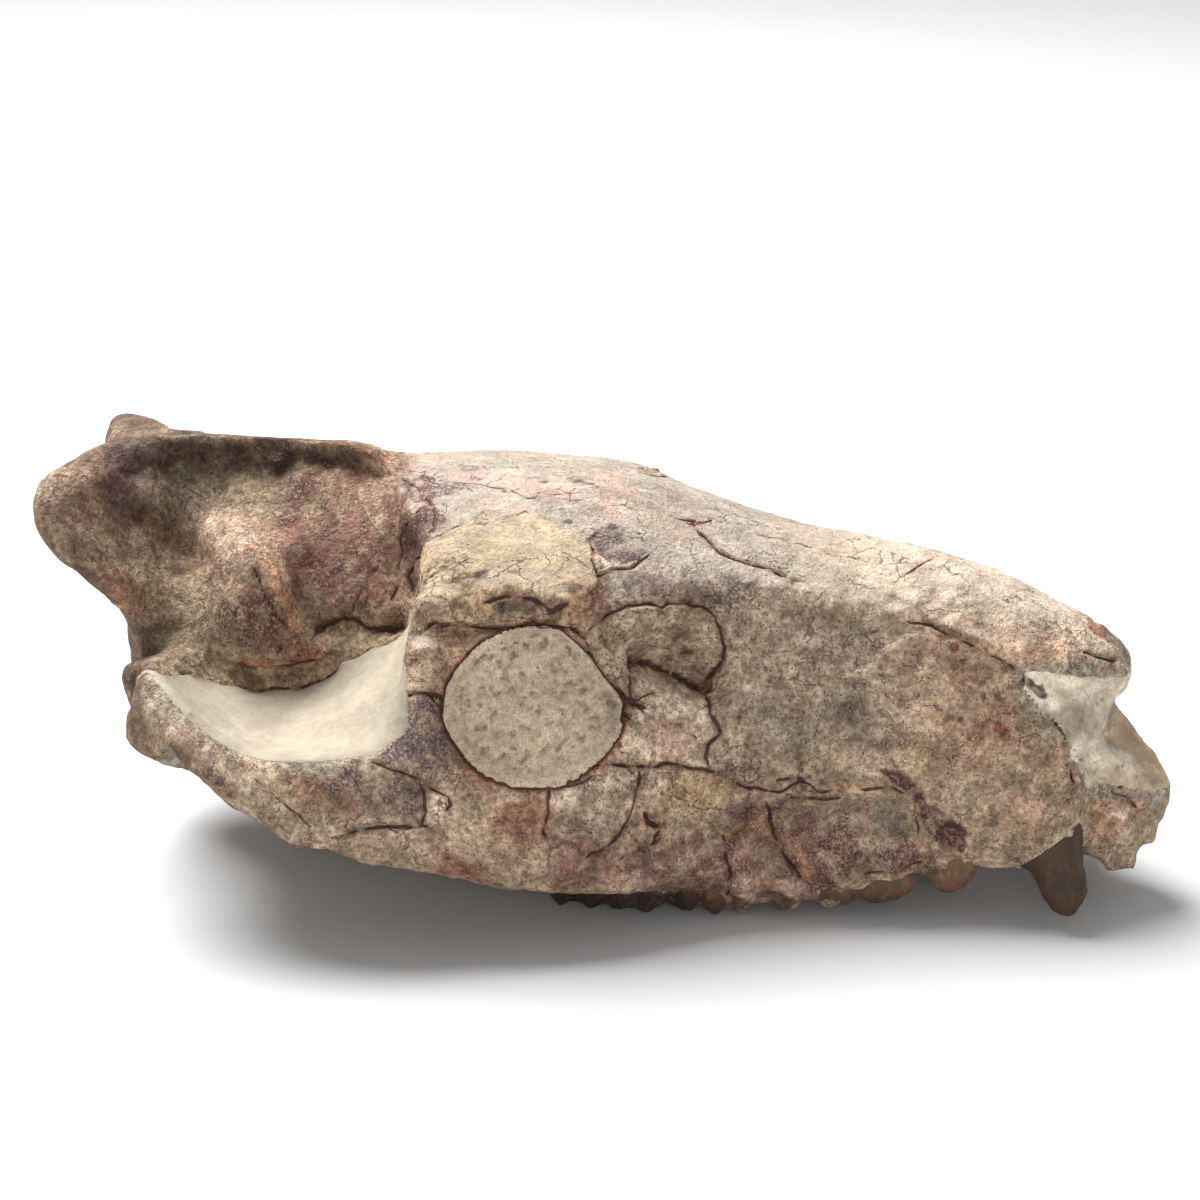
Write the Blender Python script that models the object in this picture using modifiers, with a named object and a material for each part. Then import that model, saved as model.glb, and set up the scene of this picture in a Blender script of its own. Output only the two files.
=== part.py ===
"""Fossil oreodont skull without its lower jaw, life size, at rest on a floor at Z = 0.

It stands on its molars and on the two hooks of the pterygoid bones.
Axes: +X along the snout, +Y to the animal's left, +Z up.
The sizes below are in millimetres and become metres when a mesh is made.
The skull is modelled whole, as lofts between anatomical lines that a voxel remesh blends,
and is then parted into its named bones and matrix fills with thin cuts.
"""

import math
import random

import bmesh
import bpy
from mathutils import Vector

MM = 0.001

# Driving dimensions
SKULL_FRONT = 105.5       # tip of the premaxilla
CUT_GAP = 0.3             # saw cut between neighbouring nodes
VOXEL = 1.25              # blending resolution of the whole skull
SMOOTH_ROUNDS = 5
FACE_BUDGET = 6800        # triangles of the whole skull before it is parted
STATION_STEP = 4.0        # spacing of the loft stations along the skull
SHARP_ANGLE = math.radians(40)

# Anatomical lines, as (distance along the skull, value) pairs
ROOF_Z = ((-46, 77), (-30, 77), (-15, 76.5), (-5, 76.2), (3, 75.2), (14, 72), (34, 67.8),
          (53, 65.8), (64, 63.8), (72, 61.4), (84, 55.8), (94, 50.2), (96.5, 47.5))
ROOF_EDGE_Y = ((-46, 5), (-41, 9), (-36, 17), (-31, 27), (-26, 36), (-20, 39.5), (-10, 41.5),
               (0, 40), (6, 36), (12, 30), (20, 24), (30, 19), (45, 16), (75, 14.5), (85, 13),
               (93, 9.5), (96.5, 5))
ROOF_EDGE_Z = ((-46, 74), (-41, 74), (-36, 72.5), (-31, 69), (-26, 65), (-20, 61), (-10, 60),
               (6, 60), (20, 62), (30, 61.5), (45, 58.5), (60, 55.5), (75, 50.5), (85, 47.5),
               (96.5, 45))
SIDE_Z = ((-46, 45), (12, 45), (25, 41), (60, 36), (90, 32))
SIDE_Y = ((-46, 19), (-41, 20), (-36, 22), (-31, 29), (-26, 41), (-22, 44.5), (-6.6, 40.8),
          (9, 36.5), (15, 31.5), (25, 28.5), (35, 25.5), (50, 22.5), (65, 20.5), (77, 19.5),
          (85, 18), (90, 15.5))
CHEEK_Z = ((-46, 30), (-20, 25), (30, 22), (60, 22), (90, 24))
CHEEK_Y = ((-46, 15), (-36, 17), (-26, 34), (-20, 42), (-6, 44), (9, 40), (15, 36), (25, 32),
           (35, 28.5), (50, 25.5), (65, 22.5), (77, 21.5), (85, 19.5), (90, 16))
ALVEOLUS_Y = ((-46, 11), (-30, 14), (-20, 20), (-12, 28), (-4, 32), (8, 32), (20, 30), (32, 27.5),
              (49, 24.5), (65, 21.5), (78, 20.5), (85, 18), (90, 14.5))
ALVEOLUS_Z = ((-46, 24), (-30, 19), (-20, 14), (-12, 9), (0, 6), (13, 4.6), (32, 3.8), (49, 4.8),
              (58, 7.5), (65, 10.5), (78, 10), (85, 13.5), (90, 18))
PALATE_Z = ((-46, 30), (-30, 29), (-15, 26), (-5, 18), (5, 15), (50, 14), (70, 15), (85, 18),
            (90, 21))

# Zygomatic arch, from the cheek back to the glenoid
ARCH_OUT_Y = ((40, 24), (32, 29), (24, 33), (16, 38.5), (6, 46), (-10, 52), (-28, 56.5),
              (-38, 58.5), (-48, 59.5), (-62, 58.5), (-71, 55), (-77, 50), (-80, 46))
ARCH_TOP_OUT_Y = ((40, 22), (24, 30), (9, 38), (-6, 46), (-22, 48.5), (-28, 50.5), (-38, 54),
                  (-48, 56), (-62, 55.5), (-71, 52), (-80, 43))
ARCH_LOW_Z = ((40, 16), (24, 10), (16, 8), (6, 9.3), (-10, 12), (-28, 16.6), (-48, 21.3),
              (-62, 29.5), (-71, 36), (-80, 43))
ARCH_TOP_Z = ((40, 25), (24, 29), (16, 30), (6, 32), (-10, 32), (-28, 38), (-38, 38.5),
              (-48, 37.5), (-54, 37.5), (-62, 40), (-71, 46), (-77, 49), (-80, 48.5))
ARCH_THICK = 8.0

# Plaster and matrix floor of the temporal fossa, where it meets the braincase
FILL_IN_Y = ((-82, 27), (-67, 22), (-56, 19), (-42, 19), (-34, 24), (-29, 34))
FILL_IN_Z = ((-82, 42), (-67, 39), (-56, 38), (-42, 47), (-34, 54), (-29, 57))
FILL_SAG = 2.0

# Braincase cross-section: half width at each height, for stations along the skull
BRAIN_HEIGHTS = (20, 30, 40, 50, 58, 64, 70, 76)
BRAIN_WIDTHS = (
    (-92, (9, 13, 15, 15, 14, 13, 12, 9)),
    (-87, (12, 18, 20, 19, 15, 11, 8, 6)),
    (-80, (15, 22, 25, 21, 15, 9, 5.5, 4)),
    (-67, (14, 21, 25, 25, 21, 14, 5, 3)),
    (-50, (11, 17, 21, 20.5, 17, 12, 7.5, 4)),
    (-38, (9, 15, 20, 19.5, 18, 16, 12, 8)),
)
CREST_Z = ((-93, 79.5), (-89, 79.8), (-79, 80), (-53, 79.5), (-38, 77))
BRAIN_BASE_Z = 16

# Occiput and nuchal crest: horizontal sections
OCCIPUT_Z = (26, 36, 44, 52, 58, 63, 68, 72.5, 76, 78, 78.8)
CREST_RIM_Y = ((26, 10), (36, 15), (44, 18), (52, 20), (58, 23), (63, 24.5), (68, 24),
               (72.5, 21), (76, 16), (78, 10), (78.8, 5))
CREST_RIM_X = ((26, -84), (36, -84), (44, -84), (52, -87), (58, -92), (63, -97),
               (68, -101), (72.5, -101.4), (76, -99.5), (78, -96), (78.8, -93))
OCCIPUT_REAR_X = ((26, -88), (36, -87.5), (44, -87.5), (52, -88), (60, -90.5), (68, -95),
                  (76, -97.5), (78.8, -96))
RIM_RADIUS = 5.3

# Snout end: half width, lowest and highest z of the premaxilla and the matrix in the nose
SNOUT_WIDTH = ((74, 15), (88, 14), (93, 12.5), (97, 10.5), (101, 8), (104, 5), (105.5, 2.5))
SNOUT_LOW = ((74, 15), (88, 10), (94, 8), (99, 8), (102, 11), (104, 15), (105.5, 19.5))
SNOUT_TOP = ((74, 47), (86, 45), (91, 42), (94, 37), (98, 31.5), (102, 27.5), (105.5, 23.5))

# Orbit: centre, half axes and the tilt of its plane (outward and up, forward and out)
ORBIT_CENTRE = (-6.6, 40.8, 45.4)
ORBIT_HALF_LONG = 15.6
ORBIT_HALF_HIGH = 13.2
ORBIT_CLEAR = 14.0        # how far the orbit's cutter stands out of its rim
ORBIT_SIDES = 28
ORBIT_TURN = math.atan(0.275)
ORBIT_TILT = math.atan(0.264)

# Hollows and one swelling sculpted into the right side: centre, reach and push
SCULPTED = (
    ((19, -29, 50), (13, 14, 12), (0, 3.2, 0)),        # preorbital fossa
    ((48, -23, 40), (16, 10, 12), (0, 2.5, 0)),        # hollow behind the canine
    ((-80, -12, 68), (12, 14, 11), (2, 4.0, 0)),       # hollow under the nuchal crest
    ((-38, -24, 62), (12, 12, 14), (3, 3.5, 0)),       # hollow behind the orbit
    ((-62, -19, 60), (10, 12, 9), (0, -2.5, 0)),       # swelling of the squamosal
)

# Teeth: name, middle along the skull, length, width, lowest point, outer and inner cusps
CHEEK_TEETH = (
    ("m3", 1.0, 17.0, 13.0, -0.5, 3, 2),
    ("m2", 15.0, 13.5, 13.0, -0.5, 2, 2),
    ("m1", 26.5, 10.5, 12.0, -0.5, 2, 2),
    ("p4", 36.0, 8.0, 10.0, 0.6, 1, 1),
    ("p3", 45.0, 9.0, 8.0, 1.4, 1, 1),
    ("p2", 54.5, 9.0, 6.5, 2.6, 1, 0),
    ("p1", 66.0, 8.0, 5.5, 4.4, 1, 0),
)
INNER_CUSP_RISE = 0.9     # how far the inner cusps stay above the outer ones
ROOT_DEPTH = 4.0          # how far a tooth reaches into the bone above its edge
CUSP_PROFILE = ((0.0, 0.85), (0.5, 1.0), (0.78, 0.66), (1.0, 0.13))
CUSP_SIDES = 7
CANINE = ((81.5, 15.5, 24), (85.4, 17.6, 14), (87.6, 18.7, 8), (88.8, 19, 3.2))
CANINE_RADII = (5.2, 5.2, 4.3, 2.2)
INCISOR_STUBS = ((95.5, 9.2), (99.2, 7.4), (102.3, 4.2))
SIDES = (("right", -1), ("left", 1))

# Where the whole is parted, along the skull unless named otherwise
ORBIT_FILL_DEPTH = 6.0
ORBIT_RECESS = 1.0        # how far the matrix in the orbit stands back from its rim
FILL_FIRST, FILL_LAST, FILL_LOW_Z = -81.0, -29.3, 31.0
ARCH_CUT = 10.0           # from the arch's outer line to the cut behind it
ARCH_FIRST, ARCH_LAST, ARCH_HIGH_Z = -88.0, -29.5, 58.0
CHEEK_FIRST, CHEEK_LAST, CHEEK_IN_Y = -34.0, 14.0, 38.0
FAR = 130.0               # past every surface of the skull
LOW = -9.0                # below every surface of the skull
NOSE_OUTLINE = ((78, 47.5), (88, 38), (91, 28), (104.5, 24), (112, 30), (112, 44), (94, 44.5))
PREMAXILLA_OUTLINE = ((91, LOW), (91, 30), (112, 24), (112, LOW))
NASAL_OUTLINE = ((14, 61), (78, 48), (94, 43), (112, 40), (112, FAR), (14, FAR))
NASAL_HALF_WIDTH = 9.5
FRONTAL_FIRST, FRONTAL_LAST, FRONTAL_LOW_Z = -41.0, 14.0, 60.0
CREST_FIRST, CREST_LOW_Z = -88.0, 68.0
NUCHAL_LAST, NUCHAL_LOW_Z = -88.0, 50.0
BASE_LAST, BASE_HALF_WIDTH, BASE_TOP_Z = -46.0, 24.0, 33.0
MAXILLA_OUTLINE = ((-12, LOW), (-12, 24), (12, 30), (14, 72), (96, 72), (96, LOW))
SPHENOID_OUTLINE = ((-46, LOW), (-46, 33), (-41.5, 36), (-41.5, 80), (24, 80), (24, LOW))

# Colour and roughness of each kind of surface
BONE = ((0.47, 0.37, 0.27), 0.78)
RED_BONE = ((0.33, 0.21, 0.17), 0.74)
GREY_BONE = ((0.40, 0.35, 0.29), 0.78)
MATRIX = ((0.52, 0.46, 0.36), 0.92)
PLASTER = ((0.66, 0.59, 0.47), 0.9)


def along(line, x):
    """Value at x of a smooth line through (x, value) pairs, level beyond its ends."""
    pts = sorted(line)
    if x <= pts[0][0]:
        return pts[0][1]
    if x >= pts[-1][0]:
        return pts[-1][1]
    slopes = [(b[1] - a[1]) / (b[0] - a[0]) for a, b in zip(pts, pts[1:])]
    for i, (a, b) in enumerate(zip(pts, pts[1:])):
        if x > b[0]:
            continue
        before = slopes[max(i - 1, 0)]
        after = slopes[min(i + 1, len(slopes) - 1)]
        start = 0 if before * slopes[i] <= 0 else 2 / (1 / before + 1 / slopes[i])
        end = 0 if after * slopes[i] <= 0 else 2 / (1 / after + 1 / slopes[i])
        span = b[0] - a[0]
        t = (x - a[0]) / span
        return ((2 * t**3 - 3 * t**2 + 1) * a[1] + (t**3 - 2 * t**2 + t) * span * start
                + (3 * t**2 - 2 * t**3) * b[1] + (t**3 - t**2) * span * end)


def stations(first, last, step=STATION_STEP):
    """Evenly spaced places from first to last."""
    count = max(2, round((last - first) / step) + 1)
    return [first + (last - first) * i / (count - 1) for i in range(count)]


def new_object(name, mesh):
    obj = bpy.data.objects.new(name, mesh)
    bpy.context.scene.collection.objects.link(obj)
    return obj


def loft(name, rings):
    """A closed body through rings of points in millimetres, all with the same count."""
    bm = bmesh.new()
    rows = [[bm.verts.new(Vector(p) * MM) for p in ring] for ring in rings]
    count = len(rows[0])
    for low, high in zip(rows, rows[1:]):
        for i in range(count):
            j = (i + 1) % count
            bm.faces.new((low[i], low[j], high[j], high[i]))
    bm.faces.new(rows[0][::-1])
    bm.faces.new(rows[-1])
    bmesh.ops.recalc_face_normals(bm, faces=bm.faces)
    mesh = bpy.data.meshes.new(name)
    bm.to_mesh(mesh)
    bm.free()
    return new_object(name, mesh)


def rounded(half, turns=1):
    """A half profile with its corners softened by Chaikin's rule, its two ends kept."""
    for _ in range(turns):
        out = [half[0]]
        for a, b in zip(half, half[1:]):
            out.append(tuple(0.75 * p + 0.25 * q for p, q in zip(a, b)))
            out.append(tuple(0.25 * p + 0.75 * q for p, q in zip(a, b)))
        half = out + [half[-1]]
    return half


def both_sides(half, x):
    """A full ring at x from a half profile of (y, z) pairs whose ends lie on the midline."""
    right = [(x, -y, z) for y, z in reversed(half[1:-1])]
    return [(x, y, z) for y, z in half] + right


def face_body():
    """Frontals, orbits, maxillae and palate, from the narrow waist to the snout."""
    rings = []
    for x in stations(-46, 90):
        top, edge_y, edge_z = along(ROOF_Z, x), along(ROOF_EDGE_Y, x), along(ROOF_EDGE_Z, x)
        tooth_y, tooth_z = along(ALVEOLUS_Y, x), along(ALVEOLUS_Z, x)
        palate = along(PALATE_Z, x)
        rise = top - edge_z
        rings.append(both_sides(rounded([
            (0, palate),
            (max(tooth_y - 13, 3), palate),
            (max(tooth_y - 9, 5), tooth_z + 1),
            (tooth_y, tooth_z),
            (along(CHEEK_Y, x), along(CHEEK_Z, x)),
            (along(SIDE_Y, x), along(SIDE_Z, x)),
            (edge_y + 0.4, edge_z - 4),
            (edge_y, edge_z),
            (0.8 * edge_y, edge_z + 0.42 * rise),
            (0.5 * edge_y, edge_z + 0.78 * rise),
            (0.2 * edge_y, top - 0.4),
            (0, top),
        ]), x))
    return loft("face", rings)


def nasal_roof():
    """The paired nasals, which overhang the nose opening."""
    rings = []
    for x in stations(56, 97, 3.0):
        top, edge_y, edge_z = along(ROOF_Z, x), along(ROOF_EDGE_Y, x), along(ROOF_EDGE_Z, x)
        under = edge_z - (8 if x < 84 else 8 - (x - 84) * 0.3)
        rings.append(both_sides(rounded([
            (0, under), (edge_y * 0.8, under), (edge_y, edge_z),
            (0.6 * edge_y, edge_z + 0.7 * (top - edge_z)), (0, top),
        ]), x))
    return loft("nasal roof", rings)


def snout_end():
    """Premaxillae and the matrix that closes the nose opening."""
    rings = []
    for x in stations(74, SKULL_FRONT, 2.6):
        wide, low, top = along(SNOUT_WIDTH, x), along(SNOUT_LOW, x), along(SNOUT_TOP, x)
        tall = top - low
        rings.append(both_sides(rounded([
            (0, low + 0.1 * tall), (0.75 * wide, low), (wide, low + 0.25 * tall),
            (wide, low + 0.55 * tall), (0.72 * wide, low + 0.85 * tall),
            (0.4 * wide, top), (0, top - 0.6),
        ]), x))
    return loft("snout end", rings)


def braincase():
    """Braincase with the blade of the sagittal crest on it."""
    columns = [tuple((x, widths[i]) for x, widths in BRAIN_WIDTHS)
               for i in range(len(BRAIN_HEIGHTS))]
    rings = []
    for x in stations(-92, -38, 4.5):
        top = along(CREST_Z, x)
        half = [(0, BRAIN_BASE_Z), (along(columns[0], x) * 0.7, BRAIN_BASE_Z)]
        half += [(along(column, x), z) for column, z in zip(columns, BRAIN_HEIGHTS)]
        half += [(along(columns[-1], x) * 0.75, top - 0.6), (0, top)]
        rings.append(both_sides(rounded(half), x))
    return loft("braincase", rings)


def occiput():
    """Back of the skull with the flaring rim of the nuchal crest, from horizontal rings."""
    rings = []
    for z in OCCIPUT_Z:
        rim_x, rim_y = along(CREST_RIM_X, z), along(CREST_RIM_Y, z)
        rear = along(OCCIPUT_REAR_X, z)
        r = min(RIM_RADIUS, rim_y)
        half = [(rear, 0), (min(rear, rim_x - 0.5 * r), 0.5 * rim_y), (rim_x - r, rim_y),
                (rim_x - 0.6 * r, rim_y + 0.75 * r), (rim_x + 0.5 * r, rim_y + 0.8 * r),
                (rim_x + 1.2 * r, rim_y), (-84, 0.35 * rim_y), (-82, 0)]
        half = rounded(half)
        rings.append([(x, y, z) for x, y in half]
                     + [(x, -y, z) for x, y in reversed(half[1:-1])])
    return loft("occiput", rings)


def arch(side):
    """Zygomatic arch: a deep plate of bone, thin from side to side."""
    rings = []
    for x in stations(-80, 40, 4.0):
        out, low, top = along(ARCH_OUT_Y, x), along(ARCH_LOW_Z, x), along(ARCH_TOP_Z, x)
        out_top = along(ARCH_TOP_OUT_Y, x)
        tall = top - low
        section = [(out - 3.5, low), (out - 0.8, low + 0.15 * tall), (out + 0.3, low + 0.4 * tall),
                   (0.45 * out + 0.55 * out_top + 0.4, low + 0.75 * tall), (out_top, top),
                   (out_top - 4, top), (out - ARCH_THICK, low + 0.6 * tall),
                   (out - ARCH_THICK, low + 0.2 * tall)]
        rings.append([(x, side * y, z) for y, z in section])
    return loft("arch", rings)


def temporal_floor(side):
    """The filled floor of the temporal fossa, hung between the braincase and the arch."""
    rings = []
    for x in stations(-80, -29, 4.0):
        in_y, in_z = along(FILL_IN_Y, x), along(FILL_IN_Z, x)
        out_y, out_z = along(ARCH_OUT_Y, x) - 5, along(ARCH_TOP_Z, x) - 0.4
        under = along(ARCH_LOW_Z, x) + 5
        section = [(3, in_z), (in_y, in_z)]
        for t in (0.25, 0.5, 0.75):
            sag = FILL_SAG * 4 * t * (1 - t)
            section.append((in_y + (out_y - in_y) * t, in_z + (out_z - in_z) * t - sag))
        section += [(out_y, out_z), (out_y, under), (3, under - 3)]
        rings.append([(x, side * y, z) for y, z in section])
    return loft("temporal floor", rings)


def tube(name, points, radii):
    """A round bar of changing radius through points, as a mesh."""
    curve = bpy.data.curves.new(name, "CURVE")
    curve.dimensions = "3D"
    curve.bevel_depth = MM
    curve.bevel_resolution = 2
    curve.use_fill_caps = True
    spline = curve.splines.new("POLY")
    spline.points.add(len(points) - 1)
    for point, place, radius in zip(spline.points, points, radii):
        point.co = (*(Vector(place) * MM), 1)
        point.radius = radius
    guide = new_object(name, curve)
    bpy.context.view_layer.update()
    graph = bpy.context.evaluated_depsgraph_get()
    mesh = bpy.data.meshes.new_from_object(guide.evaluated_get(graph))
    bpy.data.objects.remove(guide)
    bm = bmesh.new()
    bm.from_mesh(mesh)
    bmesh.ops.remove_doubles(bm, verts=bm.verts, dist=1e-5)
    bmesh.ops.recalc_face_normals(bm, faces=bm.faces)
    bm.to_mesh(mesh)
    bm.free()
    return new_object(name, mesh)


def ball(name, centre, radii):
    """An ellipsoid."""
    bm = bmesh.new()
    bmesh.ops.create_uvsphere(bm, u_segments=20, v_segments=12, radius=MM)
    bmesh.ops.scale(bm, vec=radii, verts=bm.verts)
    bmesh.ops.translate(bm, vec=Vector(centre) * MM, verts=bm.verts)
    mesh = bpy.data.meshes.new(name)
    bm.to_mesh(mesh)
    bm.free()
    return new_object(name, mesh)


def side_forms(side):
    """The paired forms that stand on the lofts: bars, processes, bullae and condyles."""
    def at(x, y, z):
        return (x, side * y, z)

    return [
        arch(side),
        temporal_floor(side),
        tube("postorbital bar",
             [at(-23, 32, 62), at(-25, 37, 60), at(-26.4, 39.5, 56), at(-27, 42, 49),
              at(-28, 44.5, 41), at(-29, 48, 33)], [5, 5.5, 4.6, 4.4, 5.5, 7]),
        tube("canine root swelling", [at(76, 16, 36), at(82, 16.5, 25), at(86, 17, 15)],
             [4.5, 5.5, 5]),
        ball("auditory bulla", at(-60, 15, 17), (11, 7.5, 10)),
        ball("occipital condyle", at(-84.5, 9.5, 28.5), (7, 7, 7.5)),
        tube("paroccipital process", [at(-76, 20, 28), at(-71, 18, 18), at(-67, 16, 10)],
             [7, 5.5, 3.5]),
        tube("mastoid process", [at(-81.5, 27, 44), at(-79, 30, 34), at(-76, 33, 27)],
             [8, 7, 4.5]),
        tube("glenoid shelf", [at(-76, 48, 40), at(-74, 38, 34), at(-70, 26, 28)], [7, 7, 7]),
        tube("pterygoid plate", [at(-14, 13, 22), at(-28, 11, 16), at(-44, 10, 17),
                                 at(-54, 10, 20)], [5, 4, 4, 5]),
        tube("pterygoid hook", [at(-38, 10, 18), at(-42, 9, 9), at(-44, 8, -2.5)],
             [5.5, 4.2, 3.4]),
    ]


def joined(name, objects):
    """One object from several overlapping closed meshes."""
    bm = bmesh.new()
    for obj in objects:
        bm.from_mesh(obj.data)
        bpy.data.objects.remove(obj)
    mesh = bpy.data.meshes.new(name)
    bm.to_mesh(mesh)
    bm.free()
    return new_object(name, mesh)


def applied(obj):
    """Replaces the object's mesh by what its modifiers make of it."""
    bpy.context.view_layer.update()
    graph = bpy.context.evaluated_depsgraph_get()
    mesh = bpy.data.meshes.new_from_object(obj.evaluated_get(graph))
    obj.modifiers.clear()
    obj.data = mesh
    return obj


def keep_largest(obj):
    """Drops every closed surface but the largest."""
    bm = bmesh.new()
    bm.from_mesh(obj.data)
    left, shells = set(bm.verts), []
    while left:
        stack, shell = [left.pop()], []
        while stack:
            vert = stack.pop()
            shell.append(vert)
            for edge in vert.link_edges:
                other = edge.other_vert(vert)
                if other in left:
                    left.remove(other)
                    stack.append(other)
        shells.append(shell)

    def extent(shell):
        size = 1.0
        for i in range(3):
            size *= max(v.co[i] for v in shell) - min(v.co[i] for v in shell)
        return size

    largest = max(shells, key=extent)
    dropped = [v for shell in shells if shell is not largest for v in shell]
    bmesh.ops.delete(bm, geom=dropped, context="VERTS")
    bm.to_mesh(obj.data)
    bm.free()
    return obj


def pushed(obj, strokes):
    """Sculpts the mesh: each stroke moves what is near its centre by its push, fading out."""
    for vert in obj.data.vertices:
        place = vert.co / MM
        move = Vector()
        for centre, radii, push in strokes:
            reach = sum(((place[i] - centre[i]) / radii[i]) ** 2 for i in range(3))
            if reach < 1:
                move += Vector(push) * (1 - reach) ** 2
        vert.co += move * MM
    return obj


def both(strokes):
    """Each stroke with its mirror image."""
    flip = Vector((1, -1, 1))
    mirrored = [(Vector(c) * flip, r, Vector(p) * flip) for c, r, p in strokes]
    return list(strokes) + mirrored


def whole_skull():
    """Bone and matrix as one blended body, before it is parted."""
    forms = [face_body(), nasal_roof(), snout_end(), braincase(), occiput()]
    for _, side in SIDES:
        forms += side_forms(side)
    skull = joined("skull", forms)
    remesh = skull.modifiers.new("blend", "REMESH")
    remesh.mode = "VOXEL"
    remesh.voxel_size = VOXEL * MM
    smooth = skull.modifiers.new("soften", "SMOOTH")
    smooth.factor = 0.5
    smooth.iterations = SMOOTH_ROUNDS
    keep_largest(applied(skull))
    pushed(skull, both(SCULPTED))
    thin = skull.modifiers.new("fewer faces", "DECIMATE")
    thin.ratio = FACE_BUDGET / (2 * len(skull.data.polygons))
    return applied(skull)


def combined(obj, others, operation):
    """The object after one Boolean with all the others, which are then removed."""
    operands = bpy.data.collections.new("operands")
    for other in others:
        operands.objects.link(other)
    change = obj.modifiers.new("combine", "BOOLEAN")
    change.operation = operation
    change.solver = "MANIFOLD"
    change.operand_type = "COLLECTION"
    change.collection = operands
    applied(obj)
    for other in others:
        bpy.data.objects.remove(other)
    bpy.data.collections.remove(operands)
    return obj


def offset_outline(outline, grow):
    """The outline moved outward by grow, with mitred corners."""
    here = [Vector(p) for p in outline]
    before, after = here[-1:] + here[:-1], here[1:] + here[:1]
    turn = 1 if sum(a.x * b.y - b.x * a.y for a, b in zip(here, after)) > 0 else -1
    moved = []
    for a, b, c in zip(before, here, after):
        first, second = (b - a).normalized(), (c - b).normalized()
        out_first = turn * Vector((first.y, -first.x))
        out_second = turn * Vector((second.y, -second.x))
        moved.append(b + (out_first + out_second) * grow / (1 + out_first.dot(out_second)))
    return moved


def prism(name, outline, axis, low, high, grow=0.0):
    """An outline drawn out along an axis from low to high, all of it grown outward."""
    def at(level):
        orders = {"x": lambda u, v: (level, u, v), "y": lambda u, v: (u, level, v),
                  "z": lambda u, v: (u, v, level)}
        return [orders[axis](*p) for p in offset_outline(outline, grow)]
    return loft(name, [at(low - grow), at(high + grow)])


def block(name, xs, ys, zs, grow=0.0):
    """A box between the given limits."""
    outline = ((xs[0], ys[0]), (xs[1], ys[0]), (xs[1], ys[1]), (xs[0], ys[1]))
    return prism(name, outline, "z", zs[0], zs[1], grow)


def span(side, near, far):
    """Limits across the skull on one side."""
    return sorted((side * near, side * far))


def orbit_cutter(side, depth, grow=0.0):
    """An elliptic cylinder square to the orbit's plane, from its depth to well outside."""
    outward = Vector((math.sin(ORBIT_TURN), side * math.cos(ORBIT_TURN), 0))
    outward = (outward + Vector((0, 0, math.tan(ORBIT_TILT)))).normalized()
    long_axis = Vector((0, 0, 1)).cross(outward).normalized()
    high_axis = outward.cross(long_axis)
    centre = Vector(ORBIT_CENTRE) * Vector((1, side, 1))
    rings = []
    for level in (-depth - grow, ORBIT_CLEAR + grow):
        ring = []
        for i in range(ORBIT_SIDES):
            turn = 2 * math.pi * i / ORBIT_SIDES
            ring.append(centre + outward * level
                        + long_axis * (ORBIT_HALF_LONG + grow) * math.cos(turn)
                        + high_axis * (ORBIT_HALF_HIGH + grow) * math.sin(turn))
        rings.append(ring)
    return loft("orbit cutter", rings)


def fill_cutter(side, grow=0.0):
    """The room of the temporal fill, from its level under side up past its face."""
    xs = stations(FILL_FIRST, FILL_LAST, 5.0)
    inner = [(x, along(FILL_IN_Y, x)) for x in xs]
    outer = [(x, along(ARCH_TOP_OUT_Y, x) - 3) for x in xs]
    ring = offset_outline(inner + outer[::-1], grow)
    rings = []
    for near, out in zip(ring[:len(xs)], ring[:len(xs) - 1:-1]):
        rings.append([(near.x, side * near.y, FILL_LOW_Z - grow),
                      (out.x, side * out.y, FILL_LOW_Z - grow),
                      (out.x, side * out.y, along(ARCH_TOP_Z, out.x) + 3 + grow),
                      (near.x, side * near.y, along(FILL_IN_Z, near.x) + 2 + grow)])
    return loft("fill cutter", rings)


def arch_cutter(side, grow=0.0):
    """All that lies outside the inner face of the zygomatic arch."""
    xs = stations(ARCH_FIRST, ARCH_LAST, 5.0)
    inner = [(x, side * (along(ARCH_OUT_Y, x) - ARCH_CUT)) for x in xs]
    outline = inner + [(ARCH_LAST, side * FAR), (ARCH_FIRST, side * FAR)]
    return prism("arch cutter", outline, "z", LOW, ARCH_HIGH_Z, grow)


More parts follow.
